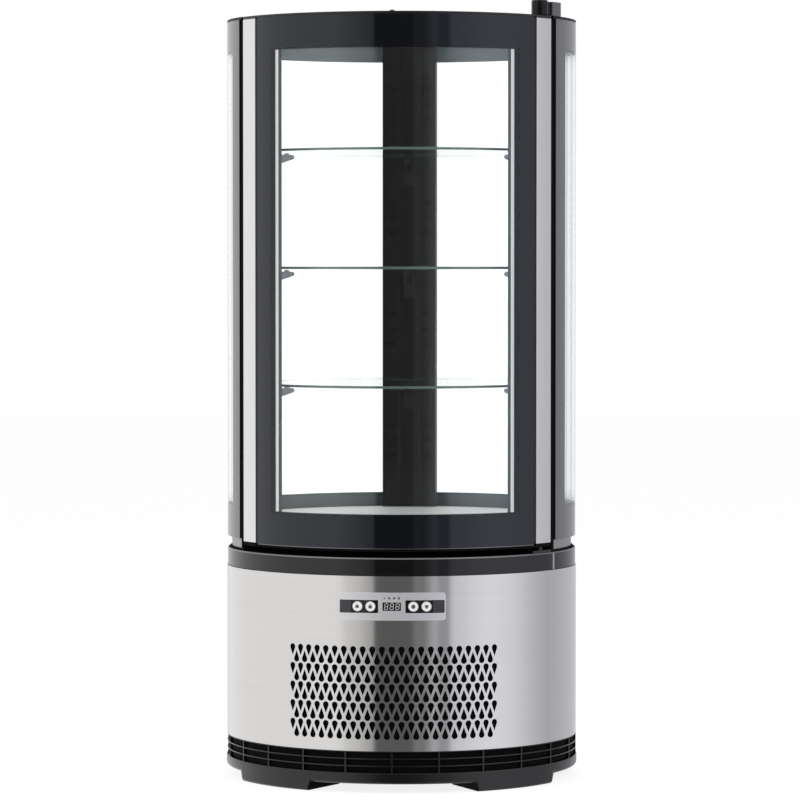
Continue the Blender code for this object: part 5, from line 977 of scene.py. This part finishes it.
def new_pane(name, node, outer, ends, window, printed, finishes, body):
    """A bent pane with grid lines on two openings of (first bearing, last bearing, low, high): the
    film's, on the inner face, and the gloss enamel's, on the outer one. The two finishes are those
    of its outer face, clear and printed."""
    low, high = height_span(node)
    inner = outer - PANE
    profile = ((outer, low), (outer, printed[2]), (outer, printed[3]), (outer, high),
               (inner, high), (inner, window[3]), (inner, window[2]), (inner, low))
    bearings = bearings_between(*ends, extra=sorted({*window[:2], *printed[:2]}))
    shell = swept(profile, bearings)
    middles = np.repeat((bearings[:-1] + bearings[1:]) / 2, len(profile))
    stretch = np.tile(np.arange(len(profile)), len(bearings) - 1)
    enamelled = (middles < printed[0]) | (middles > printed[1]) | (stretch != 1)
    bonded = (middles < window[0]) | (middles > window[1]) | (stretch != 5)
    zones = np.ones(len(shell[1]), int)
    zones[:len(middles)] = np.select([np.isin(stretch, (3, 7)), stretch > 3], [1, np.where(bonded, 2, 3)],
                                     np.where(enamelled, 4, 0))
    pane = new_piece(name, shell, finishes[0], "clear_glass", body, [node], edge=0.0004, edge_steps=2)
    for finish in (sealed_edge, bonded_glass, inner_glass, finishes[1]):
        pane.data.materials.append(finish)
    pane.data.polygons.foreach_set("material_index", zones)


def frame_wall(outer, inner, ends, low, high, opening):
    """A curved frame round an opening of (first bearing, last bearing, low, high)."""
    def is_open(bearing, height):
        return ((bearing > opening[0]) & (bearing < opening[1])
                & (height > opening[2]) & (height < opening[3]))

    return pierced_wall(bearings_between(*ends, extra=opening[:2]), np.unique((low, *opening[2:], high)),
                        outer, inner, is_open)


def glazing_unit(side, body, ends, opening, printed, enamels, nodes):
    """An outer pane with its gloss enamel, the film behind it, and a plain inner pane."""
    new_pane(f"{side}_front_glass", nodes[0], GLASS_RADIUS, ends, opening, printed,
             (clear_glass, enamels[0]), body)
    film = new_piece(f"{side}_enamel_border",
                     frame_wall(FILM_FACE, FILM_BACK, ends, *height_span(nodes[0]), opening),
                     enamels[1], "gloss_black", body, [])
    refinish(film, print_back, lambda middles, normals, lean: lean < -0.5)
    # Above the window the film's back takes the paler painted reflection.
    refinish(film, painted_reflection_print_back,
             lambda middles, normals, lean: (lean < -0.5) & (middles[:, 2] > opening[3]))
    low, high = height_span(nodes[1])
    plain = (ends[0] + PLAIN_EDGE, ends[1] - PLAIN_EDGE, low + PLAIN_RIM, high - PLAIN_RIM)
    new_pane(f"{side}_back_glass", nodes[1], INNER_FACE, ends, plain, plain,
             (inner_glass, bonded_glass), body)


glazing_unit("door", "door", (-DOOR_PRINT_TURN, DOOR_PRINT_TURN),
             (-DOOR_FILM_TURN, DOOR_FILM_TURN, DOOR_WINDOW_BOTTOM, DOOR_WINDOW_TOP),
             (-DOOR_GLOSS_TURN, DOOR_GLOSS_TURN,
              DOOR_WINDOW_BOTTOM - GLOSS_INSET, DOOR_WINDOW_TOP + GLOSS_INSET),
             (black_gloss, black_print), ("door_outer_pane", "door_inner_pane"))
for side, way in (("right", 1), ("left", -1)):
    ends, film_ends, gloss_ends = (sorted((way * start, way * end)) for start, end in (
        SIDE_GLASS, (SIDE_FILM_START, SIDE_PRINT_END), (SIDE_GLOSS_START, SIDE_PRINT_END)))
    glazing_unit(side, "case", ends, (*film_ends, SIDE_WINDOW_BOTTOM, SIDE_WINDOW_TOP),
                 (*gloss_ends, SIDE_WINDOW_BOTTOM, SIDE_WINDOW_TOP),
                 (smoke_gloss, smoke_print), (f"{side}_outer_pane", f"{side}_inner_pane"))


# Spacer bars: hollow satin aluminium, bent to the glass. The door's bar shows as a light line just
# inside the black print.

SPACER_FACE, SPACER_BACK, SPACER_WIDTH = 0.2197, 0.2138, 0.0100
DOOR_SPACER_END, DOOR_SPACER_TURN = 44.5, 3.15
DOOR_SPACER_LOW, DOOR_SPACER_HIGH, DOOR_SPACER_WIDTH = 0.3332, 0.9349, 0.0120

spacer_metal = brushed_finish("spacer_aluminium", (0.84, 0.86, 0.88), 0.38, upright=True)
spacer_side = painted_finish("spacer_sealant", (0.075, 0.084, 0.088), 0.5)


def new_spacer(side, ends, low, high, turn, width, body):
    """A bar all round the unit's edge, so many degrees and metres wide, with sealant on its sides."""
    opening = (ends[0] + turn, ends[1] - turn, low + width, high - width)
    bar = new_piece(f"{side}_spacer_bar", frame_wall(SPACER_FACE, SPACER_BACK, ends, low, high, opening),
                    spacer_metal, "satin_aluminium", body, [f"{side}_spacer"])
    refinish(bar, spacer_side, lambda middles, normals, lean: np.abs(lean) < 0.5)


new_spacer("door", (-DOOR_SPACER_END, DOOR_SPACER_END), DOOR_SPACER_LOW, DOOR_SPACER_HIGH,
           DOOR_SPACER_TURN, DOOR_SPACER_WIDTH, "door")
for side, way in (("right", 1), ("left", -1)):
    new_spacer(side, sorted((way * SIDE_GLASS[0], way * SIDE_GLASS[1])), *height_span(f"{side}_spacer"),
               np.degrees(SPACER_WIDTH / SPACER_FACE), SPACER_WIDTH, "case")


# Uprights: black extruded posts behind the glass edges. The front pair is matt, with a flange for the
# door's seal; the rear one is a hollow air duct with a grooved face and outlets.

post_plastic = moulded_finish("post_plastic", (0.0035, 0.0036, 0.0040), 0.22, 1100.0, 0.00006, **DULL)
finer_copy("left_front_post", "left_upright", felt_black, "black_plastic", "case", 0.0004)
finer_copy("right_front_post", "right_upright", felt_black, "black_plastic", "case", 0.0004)
finer_copy("rear_post", "air_column", post_plastic, "black_plastic", "case", 0.0007)


# Lamp: a strip of light diodes behind a frosted cover, under the front of the top frame.

lamp_frost, _, _ = new_finish("lamp_frost", (0.88, 0.88, 0.86), 0.5)
finer_copy("light_bar", "lamp_cover", lamp_frost, "lamp_diffuser", "case", 0.0008)


# Shelves: three round plates of clear toughened glass with broad polished bevels. The narrow edge
# between them looks green, and is polished clearer towards the back.

SHELF_RADIUS, SHELF_BEVEL, SHELF_MIRROR = 0.1855, 0.0010, 0.12

shelf_glass = clear_finish("shelf_glass", GLASS_TINT, GLASS_SHINE, SHELF_MIRROR)
shelf_edge, edge_shader, place = mottled_finish("shelf_edge", (0.10, 0.145, 0.14), 0.10, 0.08, 300.0)
towards_back = part_of(place, 1) / SHELF_RADIUS
green_share = towards_back.node("MapRange", {"Value": towards_back, "From Min": -0.6, "From Max": 0.6,
                                             "To Min": 1.0, "To Max": 0.15})
green_share.into(edge_shader, "Alpha")
bearings = bearings_between(0.0, FULL_TURN)[:-1]
for level in ("lower", "middle", "upper"):
    low, high = height_span(f"{level}_shelf")
    inside = SHELF_RADIUS - SHELF_BEVEL
    profile = np.array(((0.0, low), (SHELF_RADIUS / 2, low), (inside, low),
                        (SHELF_RADIUS, low + SHELF_BEVEL), (SHELF_RADIUS, high - SHELF_BEVEL),
                        (inside, high), (SHELF_RADIUS / 2, high), (0.0, high)))
    points = around(profile[:, :1], bearings, profile[:, 1:]).reshape(-1, 3)
    shelf = new_piece(f"{level}_glass_shelf", (points, grid_faces(len(profile), len(bearings), False, True)),
                      shelf_glass, "clear_glass", "case", [f"{level}_shelf"], merge=1e-6)
    refinish(shelf, shelf_edge, lambda middles, normals, lean: lean > 0.9)


# Brackets: nine small zinc castings, each an arm that tapers to a round tip, with a knob on top that
# the shelf lies on, hooked into its upright by a plate. The rear ones are painted near black: painted
# shade, for the shade they sit in before the black post.

ARM_HALF_WIDTH, ARM_TIP, ARM_TIP_DEPTH, ARM_ROOT_DEPTH = 0.0025, 0.1460, 0.0060, 0.0175
KNOB_RISE, KNOB_RADIUS, KNOB_INSET = 0.0024, 0.0032, 0.0098
PLATE_HALF_WIDTH, PLATE_DEPTH, PLATE_HEIGHT = 0.0065, 0.0025, 0.0350
BRACKET_PLACES = (("right", 67.0, 0.1862), ("left", -67.0, 0.1862), ("rear", 180.0, 0.1867))


def bracket_shell(shelf_low, bearing, seat):
    """The side view, as (radius, height), drawn out to the arm's width, and the plate behind it: half
    an ellipse on top for the knob, and half a circle round the tip."""
    arm_top, root, half_tip = shelf_low - KNOB_RISE, seat - PLATE_DEPTH / 2, ARM_TIP_DEPTH / 2
    knob = (ARM_TIP + KNOB_INSET, arm_top) + on_circle(np.linspace(0.0, 180.0, 9)) * (KNOB_RADIUS, KNOB_RISE)
    end = (ARM_TIP + half_tip, arm_top - half_tip) + on_circle(np.linspace(90.0, 270.0, 9)) * half_tip
    side_view = np.concatenate([[(root, arm_top)], knob, end, [(root, arm_top - ARM_ROOT_DEPTH)]])
    points, faces = plate_of(side_view, 2 * ARM_HALF_WIDTH)
    arm = (points[:, ::-1] - (ARM_HALF_WIDTH, 0.0, 0.0), faces)
    corners = np.array(((-1.0, -1.0), (1.0, -1.0), (1.0, 0.0), (-1.0, 0.0)))
    plate = plate_of(corners * (PLATE_HALF_WIDTH, PLATE_HEIGHT), PLATE_DEPTH)
    return joined(facing_out(arm, bearing, 0.0, 0.0), facing_out(plate, bearing, seat - PLATE_DEPTH, arm_top))


bracket_metal, bracket_shader, place = mottled_finish("bracket_zinc", (0.24, 0.255, 0.28), 0.22, 0.14, 500.0,
                                                      3.0, metallic=1.0)
grain(bracket_shader, speckle(place, 900.0), 0.10, 0.0001)
# Near-black paint for the rear brackets: painted shade, where the zinc sits in shade before the post.
painted_shade_bracket = painted_finish("painted_shade_bracket", (0.010, 0.011, 0.011), 0.25)
for level in ("lower", "middle", "upper"):
    for side, bearing, seat in BRACKET_PLACES:
        new_piece(f"{level}_{side}_arm", bracket_shell(height_span(f"{level}_shelf")[0], bearing, seat),
                  painted_shade_bracket if side == "rear" else bracket_metal, "grey_metal", "case",
                  [f"{level}_{side}_bracket"], edge=0.0005)


# Top frame, ceiling and lid: a black ring that holds the glass together, a white ceiling sheet in it,
# and a thin polished black lid, cut back over the door and notched round the hinge's pivot.

LID_LOW, LID_HIGH = height_span("lid")
LID_CUT_RADIUS, LID_CUT_TURN, LID_NOTCH = 0.2092, 61.4, 0.01756
PIVOT_RADIUS, PIVOT_BEARING = 0.2155, 56.5

frame_plastic = moulded_finish("frame_plastic", (0.010, 0.010, 0.011), 0.28, 1100.0, 0.00008)
finer_copy("top_frame", "top_ring", frame_plastic, "black_plastic", "case", 0.0008)
finer_copy("ceiling_panel", "ceiling_sheet", enamel, "white_enamel", "case", 0.0005)
lid_front = around(LID_CUT_RADIUS, bearings_between(-LID_CUT_TURN, LID_CUT_TURN), 0.0)[:, :2]
lid_back = around(GLASS_RADIUS, bearings_between(LID_CUT_TURN, FULL_TURN - LID_CUT_TURN), 0.0)[:, :2]
pivot = around(PIVOT_RADIUS, PIVOT_BEARING, 0.0)[:2]
notch = pivot + LID_NOTCH * around(1.0, np.arange(0.0, FULL_TURN, 5.0), 0.0)[:, :2]
lid_front = np.concatenate([lid_front[np.linalg.norm(lid_front - pivot, axis=1) > LID_NOTCH],
                            notch[np.linalg.norm(notch, axis=1) < LID_CUT_RADIUS]])
lid_front = lid_front[np.argsort(np.arctan2(lid_front[:, 0], -lid_front[:, 1]))]
points, faces = plate_of(np.concatenate([lid_front, lid_back]), LID_HIGH - LID_LOW)
lid_gloss = polished_finish("lid_gloss", (0.0045, 0.0045, 0.0055), 0.07)
lid = new_piece("lid_plate", (points + (0.0, 0.0, LID_LOW), faces), lid_gloss, "gloss_black", "case", ["lid"],
                edge=0.0006)
lid_rim = painted_finish("lid_edge_matt", (0.0030, 0.0030, 0.0034), 0.55, **DULL)
refinish(lid, lid_rim, lambda middles, normals, lean: lean > 0.5)


# Door: black end rails moulded over the glass, flat satin aluminium profiles down both sides, and a
# black rubber seal on the back. The right-hand profile holds the two hinge pins.

PROFILE_START, PROFILE_END, BEAD_START = 52.1, 60.2, 50.95
DOOR_BACK, RAIL_RADIUS, RAIL_CAP_INSET, RAIL_CAP_TURN, CAP_TRIM = 0.2095, 0.2228, 0.0003, 0.08, 0.0022
HIGHLIGHT_STRIP_INNER, HIGHLIGHT_STRIP_DEPTH, RAIL_GAP = 0.2226, 0.0010, 0.0001
SEAL_FACE, SEAL_BACK, SEAL_TURN, SEAL_WIDTH = 0.2092, 0.1950, 54.6, 0.0150

top_low, top_high = height_span("door_top_rail")
bottom_low, bottom_high = height_span("door_bottom_rail")
glass_low, glass_high = height_span("door_outer_pane")
rail_plastic = moulded_finish("rail_plastic", (0.006, 0.006, 0.007), 0.30, 1200.0, 0.00006)


def rail_shell(low, high, outer, cap_low, cap_high):
    """The long band across the door, and a cap at each end over the profile."""
    spans = ((PROFILE_START, PROFILE_END - RAIL_CAP_TURN), (RAIL_CAP_TURN - PROFILE_END, -PROFILE_START))
    caps = [hoop(DOOR_BACK + RAIL_CAP_INSET, GLASS_RADIUS - RAIL_CAP_INSET, cap_low, cap_high, *span)
            for span in spans]
    return joined(hoop(DOOR_BACK, outer, low, high, -PROFILE_END, PROFILE_END), *caps)


new_piece("door_top_band", rail_shell(glass_high + RAIL_GAP, top_high, GLASS_RADIUS, top_low + CAP_TRIM,
                                      top_high - RAIL_CAP_INSET),
          rail_plastic, "black_plastic", "door", ["door_top_rail"], edge=0.0004)
new_piece("door_bottom_band", rail_shell(bottom_low, glass_low - RAIL_GAP, RAIL_RADIUS,
                                         bottom_low + RAIL_CAP_INSET, bottom_high),
          felt_black, "black_plastic", "door", ["door_bottom_rail"], edge=0.0004)
# A thin light grey steel strip under the glass's bottom edge: a painted highlight along that edge.
edge_highlight_metal = brushed_finish("painted_edge_highlight_steel", (0.21, 0.21, 0.22), 0.35)
new_piece("door_edge_highlight_strip", hoop(HIGHLIGHT_STRIP_INNER, GLASS_RADIUS, glass_low - HIGHLIGHT_STRIP_DEPTH, glass_low - RAIL_GAP,
                                 -DOOR_PRINT_TURN, DOOR_PRINT_TURN),
          edge_highlight_metal, "satin_aluminium", "door", [])

profile_metal = brushed_finish("profile_aluminium", (0.775, 0.765, 0.755), 0.33, upright=True)
profile_low, profile_high = height_span("handle_profile")
profile_high += CAP_TRIM
for name, node, first, last in (("grip_profile", "handle_profile", -PROFILE_END, -PROFILE_START),
                                ("pivot_profile", "hinge_profile", PROFILE_START, PROFILE_END)):
    new_piece(name, hoop(DOOR_BACK, GLASS_RADIUS, profile_low, profile_high, first, last, 1.0),
              profile_metal, "satin_aluminium", "door", [node], edge=0.0009, edge_steps=4)
bead_rubber, _, _ = mottled_finish("bead_rubber", (0.005, 0.005, 0.005), 0.5, 0.2, 200.0)
for side, first, last in (("right", BEAD_START, PROFILE_START), ("left", -PROFILE_START, -BEAD_START)):
    new_piece(f"{side}_glazing_bead",
              hoop(DOOR_BACK, RAIL_RADIUS, profile_low, profile_high, first, last, 0.5),
              bead_rubber, "black_rubber", "door", [], edge=0.0004)

seal_low, seal_high = height_span("door_gasket")
seal_turn = SEAL_TURN - np.degrees(SEAL_WIDTH / SEAL_FACE)
seal_rubber, _, _ = mottled_finish("seal_rubber", (0.012, 0.012, 0.012), 0.62, 0.22, 120.0)
new_piece("door_seal", frame_wall(SEAL_FACE, SEAL_BACK, (-SEAL_TURN, SEAL_TURN), seal_low, seal_high,
                                  (-seal_turn, seal_turn, seal_low + SEAL_WIDTH, seal_high - SEAL_WIDTH)),
          seal_rubber, "black_rubber", "door", ["door_gasket"], edge=0.0022, edge_steps=4)


# Door screw: a small black dome-headed screw in the top rail, at the middle of the door.

DOOR_SCREW_RADIUS, DOOR_SCREW_RISE, DOOR_SCREW_SEAT = 0.0035, 0.0020, 0.2165

points, faces = screw_head(DOOR_SCREW_RADIUS, DOOR_SCREW_RISE)
new_piece("door_screw", (points + (0.0, -DOOR_SCREW_SEAT, top_high), faces), screw_black, "black_plastic",
          "door", [], merge=1e-7)


# Hinges: the top bracket is a glossy black casting, a block on the lid with an arm to a round boss over
# the door; the bottom one is a plate on the rim ring. A steel pin stands in each. The block's dark grey
# is a painted reflection.

BOSS_RADIUS, PIN_RADIUS, BOSS_EASING, BOSS_GAP = 0.0104, 0.0025, 0.0014, 0.0008
ARM_HALF, ARM_REACH, ARM_DROP = 0.0056, 0.0260, 0.0006
BLOCK_START, BLOCK_END, BLOCK_INNER, BLOCK_DROP, BLOCK_GAP = 60.9, 66.9, 0.2020, 0.0015, 0.0001
HINGE_SCREW_RADIUS, HINGE_SCREW_RISE, HINGE_SCREW_INSET, HINGE_SCREW_TURN = 0.0024, 0.0010, 0.011, 1.7

pin_low, boss_high = height_span("top_hinge_bracket")
boss_low, block_high = top_high + BOSS_GAP, boss_high - BLOCK_DROP
boss_points, boss_faces = turned((
    (0.0, pin_low), (PIN_RADIUS, pin_low), (PIN_RADIUS, boss_low), (BOSS_RADIUS, boss_low),
    (BOSS_RADIUS, boss_high - BOSS_EASING), (BOSS_RADIUS - BOSS_EASING * 0.3, boss_high - BOSS_EASING * 0.3),
    (BOSS_RADIUS - BOSS_EASING, boss_high), (0.0, boss_high)))
along = around(1.0, PIVOT_BEARING + 90.0, 0.0)[:2]
across = np.array((along[1], -along[0]))
arm_corners = ((0.0, -ARM_HALF), (ARM_REACH, -ARM_HALF), (ARM_REACH, ARM_HALF), (0.0, ARM_HALF))
arm_outline = np.array([pivot + along * reach + across * half for reach, half in arm_corners])
arm_points, arm_faces = plate_of(arm_outline, block_high - ARM_DROP - boss_low)
hinge_gloss = polished_finish("hinge_gloss", (0.003, 0.003, 0.004), 0.06, **DULL)
# Dark grey paint for the block: a painted reflection of what its face mirrors.
block_painted_reflection = painted_finish("hinge_block_paint", (0.070, 0.070, 0.084), 0.32)
new_piece("top_hinge", joined((boss_points + (*pivot, 0.0), boss_faces),
                              (arm_points + (0.0, 0.0, boss_low), arm_faces)),
          hinge_gloss, "black_steel", "case", ["top_hinge_bracket"], edge=0.0006, merge=1e-7)
new_piece("top_hinge_block", hoop(BLOCK_INNER, GLASS_RADIUS, LID_HIGH + BLOCK_GAP, block_high,
                                  BLOCK_START, BLOCK_END, 1.0),
          block_painted_reflection, "black_steel", "case", ["top_hinge_bracket"], edge=0.0006)
screw_places = around(BLOCK_INNER + HINGE_SCREW_INSET,
                      np.array((BLOCK_START + HINGE_SCREW_TURN, BLOCK_END - HINGE_SCREW_TURN)), block_high)
points, faces = screw_head(HINGE_SCREW_RADIUS, HINGE_SCREW_RISE)
new_piece("top_hinge_screws", joined(*[(points + place, faces) for place in screw_places]),
          screw_black, "black_steel", "case", [], merge=1e-7)
hinge_paint = painted_finish("hinge_paint", (0.008, 0.008, 0.009), 0.14)
finer_copy("bottom_hinge_bracket", "bottom_hinge", hinge_paint, "black_steel", "case", 0.0005)


# Machinery in the base and under the deck: compressor, coils, copper lines, fans and the electronics
# box. The CAD shapes stay; each one gets its own finish.

fin_metal = brushed_finish("fin_aluminium", (0.60, 0.61, 0.62), 0.40, upright=True)
pot_paint = painted_finish("pot_paint", (0.022, 0.022, 0.024), 0.38)
copper_tube, _, _ = mottled_finish("copper_tube", (0.72, 0.38, 0.24), 0.24, 0.18, 90.0, 3.0, metallic=1.0)
fan_plastic = moulded_finish("fan_plastic", (0.020, 0.020, 0.022), 0.40, 1000.0, 0.0001)
# The condenser is painted near black: painted shade for the dark inside the base behind the vents.
condenser_shade_black = painted_finish("condenser_shade_black", (0.006, 0.006, 0.006), 0.45)
for node, finish in (("compressor", pot_paint), ("condenser", condenser_shade_black), ("evaporator", fin_metal),
                     ("discharge_pipe", copper_tube), ("suction_pipe", copper_tube),
                     ("filter_drier", copper_tube), ("control_box", socket_plastic),
                     ("condenser_fan_housing", fan_plastic), ("evaporator_fan_housing", fan_plastic),
                     ("condenser_fan", fan_plastic), ("evaporator_fan", fan_plastic)):
    for material_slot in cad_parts[node].material_slots:
        material_slot.material = finish
